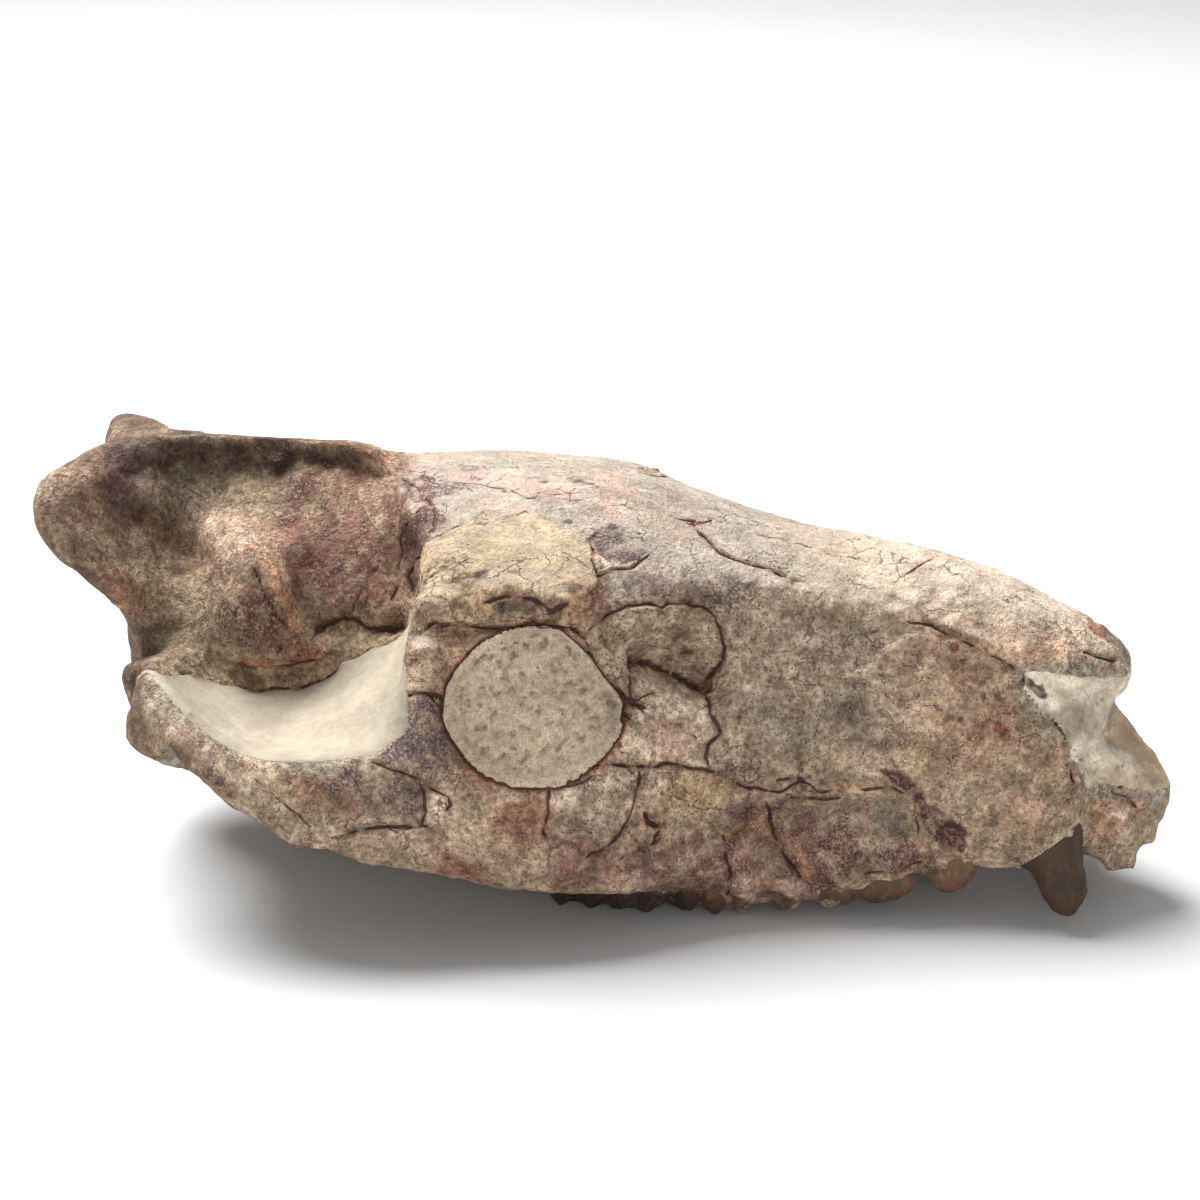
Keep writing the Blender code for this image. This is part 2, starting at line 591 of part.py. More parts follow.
def cutters():
    """Name of each node in the order they are cut, and what makes its cutter."""
    far = (-FAR, FAR)
    plan = []
    for name, side in SIDES:
        plan.append(("orbit_fill_" + name, lambda grow, side=side: orbit_cutter(
            side, ORBIT_FILL_DEPTH, grow - CUT_GAP / 2)))
        plan.append(("temporal_fill_" + name, lambda grow, side=side: fill_cutter(side, grow)))
    plan += [
        ("nose_matrix", lambda grow: prism("nose", NOSE_OUTLINE, "y", *far, grow)),
        ("premaxilla", lambda grow: prism("premaxilla", PREMAXILLA_OUTLINE, "y", *far, grow)),
        ("nasals", lambda grow: prism(
            "nasals", NASAL_OUTLINE, "y", -NASAL_HALF_WIDTH, NASAL_HALF_WIDTH, grow)),
        ("frontals", lambda grow: block(
            "frontals", (FRONTAL_FIRST, FRONTAL_LAST), far, (FRONTAL_LOW_Z, FAR), grow)),
        ("nuchal_crest", lambda grow: block(
            "nuchal", (-FAR, NUCHAL_LAST), far, (NUCHAL_LOW_Z, FAR), grow)),
        ("sagittal_crest", lambda grow: block(
            "crest", (CREST_FIRST, FRONTAL_FIRST), far, (CREST_LOW_Z, FAR), grow)),
        ("skull_base", lambda grow: block(
            "base", (-FAR, BASE_LAST), (-BASE_HALF_WIDTH, BASE_HALF_WIDTH),
            (LOW, BASE_TOP_Z), grow)),
    ]
    for name, side in SIDES:
        plan.append(("zygomatic_arch_" + name, lambda grow, side=side: arch_cutter(side, grow)))
        plan.append(("cheekbone_" + name, lambda grow, side=side: block(
            "cheek", (CHEEK_FIRST, CHEEK_LAST), span(side, CHEEK_IN_Y, FAR), (LOW, FAR), grow)))
        plan.append(("maxilla_" + name, lambda grow, side=side: prism(
            "maxilla", MAXILLA_OUTLINE, "y", *span(side, CUT_GAP / 2, FAR), grow)))
    plan.append(("sphenoid", lambda grow: prism("sphenoid", SPHENOID_OUTLINE, "y", *far, grow)))
    return plan


def parted(skull):
    """The named nodes, cut from the whole one after another."""
    nodes = {}
    for name, make in cutters():
        piece = new_object(name, skull.data.copy())
        combined(piece, [make(0.0)], "INTERSECT")
        combined(skull, [make(CUT_GAP)], "DIFFERENCE")
        nodes[name] = piece
    skull.name = "braincase"
    nodes["braincase"] = skull
    return nodes


def post(name, root, tip, radii, profile, sides):
    """A tapering post from root to tip, its rings level, its size along it by the profile."""
    root, tip = Vector(root), Vector(tip)
    rings = []
    for part, size in profile:
        middle = root.lerp(tip, part)
        ring = []
        for i in range(sides):
            turn = 2 * math.pi * (i + 0.5) / sides
            ring.append(middle + Vector((math.cos(turn) * radii[0] * size,
                                         math.sin(turn) * radii[1] * size, 0)))
        rings.append(ring)
    return loft(name, rings)


def cheek_teeth(side, draw):
    """The crowns of one tooth row, cusp by cusp."""
    cusps = []
    for name, place, length, width, lowest, outer, inner in CHEEK_TEETH:
        bone_z = along(ALVEOLUS_Z, place)
        for count, across, rise in ((outer, 0.24, 0), (inner, 0.72, INNER_CUSP_RISE)):
            for i in range(count):
                x = place + length * ((i + 0.5) / count - 0.5)
                y = along(ALVEOLUS_Y, x) - 1.0 - across * width
                radii = (0.56 * length / count, (0.29 if inner else 0.42) * width)
                tip_z = lowest + rise + draw.uniform(0, 0.35)
                cusps.append(post(name, (x, side * y, bone_z + ROOT_DEPTH),
                                  (x - 0.4, side * (y + 0.5 - 2 * across), tip_z),
                                  radii, CUSP_PROFILE, CUSP_SIDES))
    return cusps


def add_teeth(nodes):
    """Teeth, fused to the bones that hold them."""
    draw = random.Random(4)
    for name, side in SIDES:
        canine = tube("canine", [(x, side * y, z) for x, y, z in CANINE], CANINE_RADII)
        combined(nodes["maxilla_" + name], cheek_teeth(side, draw) + [canine], "UNION")
    stubs = []
    for _, side in SIDES:
        for x, y in INCISOR_STUBS:
            low = along(SNOUT_LOW, x)
            size = draw.uniform(1.5, 1.9)
            stubs.append(post("incisor", (x - 0.5, side * y * 0.85, low + 6),
                              (x + 0.3, side * y, low - draw.uniform(0.1, 0.7)),
                              (size, size), ((0, 1), (1, 0.8)), 7))
    combined(nodes["premaxilla"], stubs, "UNION")


def cleaned(obj):
    """Cut flat at the floor, in triangles, one closed surface, faces out."""
    bm = bmesh.new()
    bm.from_mesh(obj.data)
    if min(v.co.z for v in bm.verts) < 0:
        everything = bm.verts[:] + bm.edges[:] + bm.faces[:]
        bmesh.ops.bisect_plane(bm, geom=everything, plane_co=(0, 0, 0), plane_no=(0, 0, -1),
                               clear_outer=True)
        bmesh.ops.holes_fill(bm, edges=[e for e in bm.edges if e.is_boundary], sides=0)
    bmesh.ops.triangulate(bm, faces=bm.faces)
    bmesh.ops.recalc_face_normals(bm, faces=bm.faces)
    bm.to_mesh(obj.data)
    bm.free()
    return keep_largest(obj)


def material(name, look):
    colour, rough = look
    made = bpy.data.materials.new(name)
    made.use_nodes = True
    shader = made.node_tree.nodes["Principled BSDF"]
    shader.inputs["Base Color"].default_value = (*colour, 1)
    shader.inputs["Roughness"].default_value = rough
    made.diffuse_color = (*colour, 1)
    return made


def centred(objects):
    """Moves the meshes so that the middle of their common box stands over the origin."""
    places = [v.co for obj in objects for v in obj.data.vertices]
    middle = Vector([(max(p[i] for p in places) + min(p[i] for p in places)) / 2
                     for i in range(2)] + [0])
    for place in places:
        place -= middle


def look_of(name):
    """Colour and roughness for a node."""
    if name.startswith("temporal_fill"):
        return PLASTER
    if name.startswith("orbit_fill") or name == "nose_matrix":
        return MATRIX
    if name in ("braincase", "nuchal_crest", "sagittal_crest"):
        return RED_BONE
    if name.startswith("cheekbone") or name in ("skull_base", "sphenoid"):
        return GREY_BONE
    return BONE


def main():
    for obj in list(bpy.data.objects):
        bpy.data.objects.remove(obj)
    skull = whole_skull()
    for _, side in SIDES:
        combined(skull, [orbit_cutter(side, ORBIT_RECESS)], "DIFFERENCE")
    nodes = parted(skull)
    add_teeth(nodes)
    group = bpy.data.collections.new("fossil_oreodont_skull")
    bpy.context.scene.collection.children.link(group)
    for name, obj in nodes.items():
        cleaned(obj)
        obj.data.name = name
        obj.data.materials.clear()
        obj.data.materials.append(material(name, look_of(name)))
        obj.data.shade_smooth()
        obj.data.set_sharp_from_angle(angle=SHARP_ANGLE)
        bpy.context.scene.collection.objects.unlink(obj)
        group.objects.link(obj)
    centred(list(nodes.values()))


if __name__ == "__main__":
    main()
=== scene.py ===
"""Fossil oreodont skull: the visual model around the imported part.

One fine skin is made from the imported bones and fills, sculpted, parted into the bone and its
five fills, and painted vertex by vertex. Teeth are separate pieces. Lengths are millimetres
throughout, and become metres where a mesh is made.
"""

import math

import bmesh
import bpy
import numpy as np
from bpy.props import FloatProperty, FloatVectorProperty, IntProperty, PointerProperty
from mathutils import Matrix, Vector
from mathutils.bvhtree import BVHTree


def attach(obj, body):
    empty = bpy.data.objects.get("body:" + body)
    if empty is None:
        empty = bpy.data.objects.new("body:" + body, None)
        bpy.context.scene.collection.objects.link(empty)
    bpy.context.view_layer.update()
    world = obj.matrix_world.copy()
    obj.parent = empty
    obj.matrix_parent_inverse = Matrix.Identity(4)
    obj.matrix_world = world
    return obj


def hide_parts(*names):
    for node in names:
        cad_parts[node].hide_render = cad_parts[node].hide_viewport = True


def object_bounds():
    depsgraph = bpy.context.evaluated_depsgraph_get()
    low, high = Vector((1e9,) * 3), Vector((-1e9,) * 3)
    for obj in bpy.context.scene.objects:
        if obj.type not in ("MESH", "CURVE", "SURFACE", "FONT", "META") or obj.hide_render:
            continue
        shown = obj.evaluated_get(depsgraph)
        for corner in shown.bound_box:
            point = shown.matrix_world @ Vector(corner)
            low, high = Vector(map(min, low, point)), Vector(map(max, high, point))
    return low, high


bl_info = {
    "name": "Fossil Oreodont Skull",
    "version": (1, 0, 0),
    "blender": (4, 5, 0),
    "location": "3D View > Sidebar > Fossil",
    "description": "Builds a life-size fossil oreodont skull with its matrix and plaster fills",
    "category": "Object",
}

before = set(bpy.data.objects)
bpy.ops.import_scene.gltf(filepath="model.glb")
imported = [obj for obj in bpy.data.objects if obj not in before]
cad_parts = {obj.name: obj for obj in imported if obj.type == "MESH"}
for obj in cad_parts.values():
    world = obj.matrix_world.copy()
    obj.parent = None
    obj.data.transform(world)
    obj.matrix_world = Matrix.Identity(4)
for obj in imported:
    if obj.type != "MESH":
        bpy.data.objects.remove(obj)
CAD_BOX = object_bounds()

MM = 0.001
SIDES = (("right", -1), ("left", 1))

# Surface colours, linear
COLOURS = {
    "dark": (0.035, 0.02, 0.016),
    "darkbrown": (0.06, 0.035, 0.025),
    "darkpurple": (0.085, 0.05, 0.045),
    "brown": (0.17, 0.10, 0.055),
    "rust": (0.27, 0.125, 0.075),
    "red": (0.24, 0.07, 0.045),
    "redspot": (0.16, 0.045, 0.032),
    "orange": (0.52, 0.30, 0.17),
    "rim": (0.085, 0.028, 0.02),
    "yellow": (0.38, 0.275, 0.145),
    "tan": (0.40, 0.28, 0.185),
    "pinktan": (0.34, 0.215, 0.15),
    "pink": (0.44, 0.275, 0.215),
    "cream": (0.54, 0.43, 0.32),
    "ground": (0.34, 0.245, 0.165),
    "roof": (0.32, 0.275, 0.225),
    "roofpink": (0.31, 0.225, 0.175),
    "smear": (0.40, 0.355, 0.285),
    "crown": (0.026, 0.018, 0.014),
    "beige": (0.47, 0.375, 0.275),
    # Painted shade for faces that turn downwards
    "under": (0.25, 0.185, 0.125),
    "umber": (0.125, 0.075, 0.048),
    "olive": (0.46, 0.365, 0.255),
    "olivetan": (0.335, 0.255, 0.17),
    "olivegrey": (0.31, 0.25, 0.185),
    "greengrey": (0.215, 0.17, 0.115),
    "palegrey": (0.31, 0.26, 0.195),
    "slate": (0.165, 0.14, 0.11),
    "greypurple": (0.21, 0.155, 0.14),
    "purple": (0.22, 0.105, 0.085),
    "maroon": (0.15, 0.064, 0.058),
}
# How much a patch of each colour is speckled
SPECKLED = {
    "greypurple": 0.7, "purple": 0.35, "maroon": 0.6, "slate": 0.3, "olivegrey": 0.1,
}
# How much fine mottling a patch of each colour has, where it isn't 0.5
MOTTLED = {
    "maroon": 1.3, "purple": 1.5, "greypurple": 1.2, "darkbrown": 0.3, "darkpurple": 0.3,
}

# Lines, patches, blots and strokes, on the right side and the roof as a viewer in front of the
# right side sees them. A line: width, depth, colour, strength, places.
CRACKS = {
    "crest edge": (0.7, -0.35, "rust", 0.5, (
        (-80, 2.5, 79), (-73, 0.5, 79.5), (-65.5, 0.5, 79.5), (-57.5, 0.5, 79.5), (-50.5, -1, 79),
        (-45.5, -2.5, 78), (-42.5, -4.5, 77), (-39.5, -6.5, 76),
    )),
    "temporal line": (0.5, 0.3, "dark", 0.6, (
        (-39.5, -7.5, 76), (-35.5, -11, 75.5), (-32, -16, 74.5), (-29.5, -20.5, 73), (-29, -24, 71.5),
        (-30.5, -24.5, 69),
    )),
    "bar upper": (0.5, 0.45, "dark", 0.9, (
        (-29.5, -26.5, 69.5), (-34, -17, 63), (-36, -16.5, 59.5), (-34.5, -18.5, 57),
        (-28.5, -39.5, 61), (-27.5, -42, 59.5),
    )),
    "wall front": (0.35, 0.35, "dark", 0.8, (
        (-32.5, -18.5, 73), (-35.5, -17, 70), (-37.5, -15, 66.5), (-37, -15.5, 64), (-38, -16, 61),
        (-38, -17, 58), (-39, -18, 55),
    )),
    "wall steep": (0.3, 0.3, "dark", 0.8, (
        (-41.5, -15.5, 61.5), (-43, -16.5, 59), (-44.5, -18, 56.5), (-45.5, -19, 54),
        (-46.5, -19.5, 52.5),
    )),
    "wall short": (0.3, 0.2, "dark", 0.5, (
        (-47.5, -12.5, 64.5), (-46, -14, 62.5), (-45, -15.5, 61),
    )),
    "ledge front": (0.9, 0.8, "dark", 0.95, (
        (-52.5, -21.5, 48), (-50.5, -20.5, 50), (-48, -20, 51.5), (-45.5, -19.5, 51), (-43.5, -20, 50),
        (-41, -20, 50), (-37.5, -20.5, 51.5), (-29, -40.5, 59.5),
    )),
    "flow low": (0.8, -0.5, "rust", 0.9, (
        (-67, -25, 45), (-63.5, -24.5, 43), (-60, -24, 43.5), (-56.5, -23, 44), (-52.5, -21.5, 44.5),
        (-49, -21, 45.5),
    )),
    "flow high": (0.6, -0.4, "rust", 0.8, (
        (-60, -24, 46), (-55.5, -22.5, 46.5), (-51.5, -21.5, 45.5),
    )),
    "flow under": (0.6, 0.5, "dark", 0.8, (
        (-66.5, -25, 44), (-63, -24.5, 42), (-59.5, -23.5, 42), (-55.5, -22.5, 43), (-52, -21.5, 43.5),
    )),
    "knob ridge": (0.8, -0.6, "orange", 0.7, (
        (-67, -18, 61.5), (-64.5, -17.5, 62.5), (-62.5, -18.5, 61.5), (-60.5, -20.5, 59.5),
        (-59.5, -21.5, 56.5), (-58, -21.5, 54), (-56.5, -22, 50.5), (-54, -21.5, 49),
    )),
    # A groove under the knob's ridge, drawn as a dark line with a purple edge: painted shadow beneath
    # the ridge
    "painted shadow under the knob ridge": (0.8, 0.5, "purple", 0.6, (
        (-64.5, -20, 60.5), (-62.5, -21.5, 58.5), (-61.5, -22.5, 55.5), (-60, -22.5, 53),
        (-57.5, -22.5, 49.5), (-55, -22, 47.5),
    )),
    "plaster edge": (0.5, 0.3, "rust", 0.75, (
        (-77, -46, 48), (-74.5, -33.5, 43.5), (-71.5, -29.5, 41), (-67.5, -27, 39.5), (-63, -25.5, 39),
        (-58.5, -24, 39), (-55, -23, 39), (-52, -22, 40), (-48.5, -22, 42), (-45, -22, 44.5),
        (-41.5, -21.5, 47), (-38, -22.5, 49.5), (-34.5, -23.5, 52.5), (-28, -42, 59),
    )),
    "brow crease": (0.8, 0.9, "dark", 0.9, (
        (-27.5, -42, 59.5), (-25, -42, 60.5), (-21.5, -41, 59.5), (-17.5, -40.5, 59.5),
        (-13.5, -40.5, 60), (-10.5, -40.5, 60.5), (-7.5, -39.5, 61.5), (-4.5, -39.5, 61), (0, -39, 60),
        (3, -38, 59),
    )),
    "brow top": (0.4, 0.3, "rust", 0.5, (
        (-29.5, -26.5, 69.5), (-26.5, -26, 71), (-25, -23.5, 72), (-22.5, -22.5, 72.5),
        (-18.5, -21.5, 72.5),
    )),
    "brow step": (0.6, 0.6, "dark", 0.8, (
        (-19, -38.5, 62), (-15, -37.5, 63), (-12, -37, 64), (-9, -37, 64), (-4, -38, 62.5),
        (-0.5, -36, 64),
    )),
    "roof long": (0.25, 0.15, "rust", 0.5, (
        (-36.5, -10, 75.5), (-28.5, -9.5, 76), (-23.5, -10, 76), (-17, -11, 75.5), (-13.5, -13, 75),
        (-9, -11, 75.5), (-4, -9, 75.5),
    )),
    "roof scratch": (0.2, 0.12, "dark", 0.5, (
        (-22, -20.5, 73), (-17.5, -20.5, 73), (-13, -17, 74), (-3.5, -21, 72), (1, -22, 71),
    )),
    "rim bar": (0.7, 0.5, "dark", 0.9, (
        (-29, -46.5, 48), (-27, -47, 48.5), (-25, -46.5, 48.5), (-23, -45, 47.5), (-22, -44.5, 46.5),
    )),
    "bar flake": (0.4, 0.4, "dark", 0.85, (
        (-25, -46.5, 48.5), (-24, -46, 47), (-22.5, -45, 45.5), (-22, -44.5, 43), (-21, -44.5, 40.5),
    )),
    "fragment line": (0.4, 0.35, "red", 0.85, (
        (-34, -52.5, 38), (-31.5, -53, 37), (-27.5, -53, 35.5), (-24.5, -52.5, 34), (-23, -52, 32.5),
        (-20.5, -51.5, 31.5),
    )),
    "fragment edge": (0.5, 0.45, "red", 0.95, (
        (-20.5, -51.5, 31.5), (-20, -52, 30), (-21, -53, 28), (-22.5, -54.5, 26.5), (-24, -55, 27),
        (-23.5, -53.5, 29), (-24, -53, 31), (-25, -52.5, 33.5),
    )),
    "arch scratch": (0.3, 0.2, "dark", 0.6, (
        (-54.5, -57.5, 35), (-51.5, -58.5, 33), (-48.5, -59, 31), (-45.5, -59.5, 29),
        (-43, -59.5, 26.5),
    )),
    "arch ledge": (0.8, 0.8, "brown", 0.75, (
        (-51, -57, 23.5), (-48.5, -57, 22.5), (-44, -58.5, 23.5), (-38.5, -58.5, 25.5),
        (-33.5, -58, 26.5), (-29, -56.5, 27), (-24.5, -55, 26.5),
    )),
    "cheek crack": (0.5, 0.45, "dark", 0.9, (
        (-3, -45, 31.5), (-3.5, -46.5, 29.5), (-3, -47.5, 27.5), (-3.5, -48.5, 25), (-2.5, -49, 23),
    )),
    "cheek plate": (0.4, 0.3, "brown", 0.7, (
        (-3, -45, 31), (0.5, -43.5, 31.5), (5, -40.5, 33), (7.5, -39, 33.5),
    )),
    "mosaic edge": (0.4, 0.3, "rust", 0.8, (
        (0, -23, 71), (1.5, -27.5, 68.5), (2.5, -30.5, 66.5), (5, -27.5, 67.5), (7.5, -25.5, 67),
        (9.5, -22.5, 68), (10.5, -20.5, 68.5),
    )),
    "roof crack": (0.6, 0.5, "rust", 0.95, (
        (13, -8.5, 71.5), (15, -8.5, 71), (16.5, -7.5, 70.5), (17.5, -10.5, 70), (20, -12.5, 68.5),
        (22.5, -14, 67.5), (25.5, -14.5, 66.5), (28.5, -14.5, 65.5), (31.5, -14, 64.5),
        (35, -14.5, 64), (38, -14.5, 63),
    )),
    "roof branch": (0.35, 0.3, "rust", 0.7, (
        (15.5, -10, 70.5), (17.5, -7.5, 70.5), (19.5, -5, 70.5),
    )),
    "nasal stripe": (0.25, 0.15, "brown", 0.6, (
        (23.5, -7, 69), (29, -6, 68), (36, -5, 67), (42, -7, 66), (48.5, -7, 65),
    )),
    "nasal arc": (0.25, 0.2, "dark", 0.6, (
        (56, -10, 62), (55.5, -8.5, 63), (58, -5, 64), (62, 1.5, 64),
    )),
    "plate upper": (0.55, 0.45, "rust", 0.9, (
        (2, -39, 57.5), (3, -37.5, 60), (5.5, -35, 61.5), (8.5, -31.5, 62), (12, -29, 62),
        (14, -28, 61), (15, -27, 61.5), (17.5, -25.5, 61.5), (21, -24, 60), (23, -23, 58),
    )),
    "plate front": (0.8, 0.7, "red", 0.9, (
        (23, -23, 58), (24, -23, 55), (25, -23, 52), (24, -24, 49.5), (22.5, -25, 47.5),
        (21.5, -26.5, 45.5), (23, -27.5, 43.5), (23, -28.5, 41.5), (24.5, -29, 39.5), (25, -29.5, 38),
        (23, -30.5, 36), (22.5, -31, 33.5), (23.5, -31, 31.5),
    )),
    # A groove along the preorbital hollow's lip, drawn as a dark line: painted shade in the hollow
    "hollow lip with painted shade": (0.8, 0.8, "dark", 0.95, (
        (9.5, -35, 50.5), (10.5, -33.5, 51.5), (12.5, -30.5, 51), (14.5, -28.5, 50),
        (16.5, -27.5, 48.5), (18.5, -26.5, 47.5), (21, -26.5, 46), (23, -26, 45.5),
    )),
    "orbit front": (0.9, 0.9, "dark", 1, (
        (0, -39, 60.5), (2, -39, 57.5), (2.5, -35.5, 52.5), (5, -36, 49), (7.5, -36, 46.5),
        (9.5, -36, 45), (13, -33.5, 43.5),
    )),
    "orbit pit": (0.9, 0.8, "dark", 1, (
        (6, -36, 47), (8, -36, 46), (9, -36.5, 44.5), (8, -36.5, 43.5), (10, -36.5, 42),
    )),
    "hollow back": (0.45, 0.4, "dark", 0.85, (
        (9.5, -35, 50.5), (9, -35.5, 48.5), (10, -35.5, 46), (11.5, -34.5, 44), (14, -34, 40.5),
    )),
    "hollow mid": (0.3, 0.25, "dark", 0.7, (
        (13.5, -29.5, 50.5), (14, -30, 48), (13.5, -31.5, 46), (11.5, -34, 46), (11, -35, 45),
    )),
    "hollow low": (0.3, 0.25, "rust", 0.6, (
        (14, -34, 40.5), (16.5, -32, 41), (19, -31, 39), (21, -31, 37.5), (22.5, -31, 35),
    )),
    "rim line low": (0.35, 0.3, "red", 0.8, (
        (-3, -43, 33.5), (0.5, -41, 35), (4, -39.5, 37), (7, -38, 40), (8.5, -37, 42.5),
    )),
    "pale seam": (0.45, -0.4, "cream", 0.9, (
        (38.5, -22.5, 43), (43, -20, 45), (47, -19, 47), (50, -18.5, 48), (52.5, -17.5, 49.5),
        (53.5, -17, 51.5), (56.5, -16, 53.5), (59.5, -15.5, 54),
    )),
    "muzzle plate": (0.3, 0.2, "brown", 0.6, (
        (52.5, -17.5, 49.5), (52.5, -18, 47), (55.5, -18.5, 45.5), (56, -19, 43), (58, -19.5, 40.5),
    )),
    "muzzle ridge": (0.6, 0.45, "rust", 0.8, (
        (57, -15, 56.5), (61, -14.5, 56), (64.5, -15, 54.5), (68.5, -14.5, 53), (72.5, -14.5, 51),
        (75.5, -14.5, 49.5), (78, -14.5, 47),
    )),
    "muzzle hole": (1.2, 1.2, "dark", 1, (
        (78, -15, 47), (80, -14.5, 45.5), (82.5, -14.5, 44),
    )),
    "band crack": (0.6, 0.6, "rust", 0.95, (
        (0.5, -41.5, 34), (4.5, -40, 34.5), (8.5, -38.5, 34.5), (11.5, -37, 33.5), (16, -34, 33),
        (19.5, -32.5, 32.5), (22.5, -31.5, 31.5), (27, -30, 30), (29, -29.5, 28), (33, -28.5, 27),
        (36, -28, 26.5), (39.5, -26.5, 28.5), (41.5, -26.5, 28),
    )),
    "band crack front": (0.45, 0.45, "orange", 0.8, (
        (41.5, -26.5, 28), (43.5, -26, 26.5), (47, -25.5, 27.5), (51.5, -24.5, 27), (56, -23.5, 27.5),
        (59, -23, 26), (60, -23, 23.5), (60.5, -23, 20.5), (61, -23, 18),
    )),
    "band under": (0.5, 0.5, "dark", 0.8, (
        (38, -27.5, 25.5), (41, -27, 25), (44, -26, 25), (47, -25.5, 25.5),
    )),
    "band seam": (0.5, 0.5, "dark", 0.7, (
        (35, -27.5, 29), (38, -27, 29), (41, -26, 29),
    )),
    "plate low": (0.45, 0.4, "dark", 0.85, (
        (11.5, -37, 33.5), (11.5, -37.5, 30.5), (11, -39, 28), (10.5, -40.5, 25.5), (9.5, -42.5, 22.5),
        (7, -45, 21), (4, -47, 19.5),
    )),
    "low pit": (1.3, 1.2, "dark", 0.9, (
        (13.5, -38.5, 25.5), (14.5, -38.5, 23.5), (16.5, -37.5, 22), (15.5, -39, 20),
    )),
    "low seam": (0.4, 0.35, "dark", 0.8, (
        (17.5, -37, 21.5), (15.5, -39, 20), (12, -41.5, 19.5), (9.5, -44, 18.5),
    )),
    "low upright": (0.5, 0.45, "rust", 0.85, (
        (26.5, -32, 19.5), (27, -31.5, 15), (27.5, -30, 10.5), (26.5, -27.5, 5),
    )),
    "vein one": (0.6, -0.35, "orange", 0.85, (
        (26.5, -32, 18.5), (29.5, -30.5, 20.5), (33, -29, 20.5), (35.5, -28.5, 18), (37, -28, 15),
    )),
    "vein two": (0.6, -0.35, "orange", 0.85, (
        (39, -27.5, 18), (40, -27, 14.5), (41.5, -26.5, 10), (41.5, -26, 8),
    )),
    "vein dark": (0.8, 0.7, "maroon", 0.95, (
        (34, -28.5, 24.5), (34.5, -28.5, 20.5), (37, -28, 14.5), (38.5, -27.5, 12), (40.5, -26.5, 8.5),
    )),
    "low vein": (0.35, 0.3, "rust", 0.6, (
        (41, -22.5, 3.5), (46, -24.5, 6), (52, -24.5, 10), (58, -23, 11.5), (63, -22, 13),
    )),
    "muzzle front": (0.9, -0.8, "cream", 0.7, (
        (84, -15, 41.5), (85, -15.5, 39.5), (86, -16, 37), (87.5, -16, 34.5), (88.5, -16.5, 31.5),
        (89, -16.5, 28.5), (90.5, -15, 25),
    )),
    "muzzle front shade": (0.6, 0.7, "rust", 0.7, (
        (84, -15.5, 39.5), (86, -16, 36.5), (87, -17, 32), (88, -17.5, 28),
    )),
    "flake edge": (0.6, 0.6, "brown", 0.9, (
        (3, 7.5, 74.5), (4.5, 8, 74.5), (7, 10.5, 73), (8, 19, 70),
    )),
    "premaxilla top": (0.5, 0.4, "brown", 0.7, (
        (90.5, -14.5, 28), (93, -12, 28), (95, -10.5, 26.5), (97.5, -9.5, 25),
    )),
    "premaxilla fold": (0.5, 0.4, "brown", 0.6, (
        (95, -11, 25), (98.5, -9.5, 22.5), (101.5, -7.5, 19),
    )),
    "nasal end": (0.6, 0.6, "brown", 0.7, (
        (88.5, -8.5, 50.5), (91.5, -7, 49.5), (94.5, -5.5, 48),
    )),
    "far nasal edge": (0.5, 0.3, "brown", 0.7, (
        (69, 4.5, 61.5), (73, 4, 60.5), (76.5, 1.5, 59.5), (78.5, 0, 58.5),
    )),
}

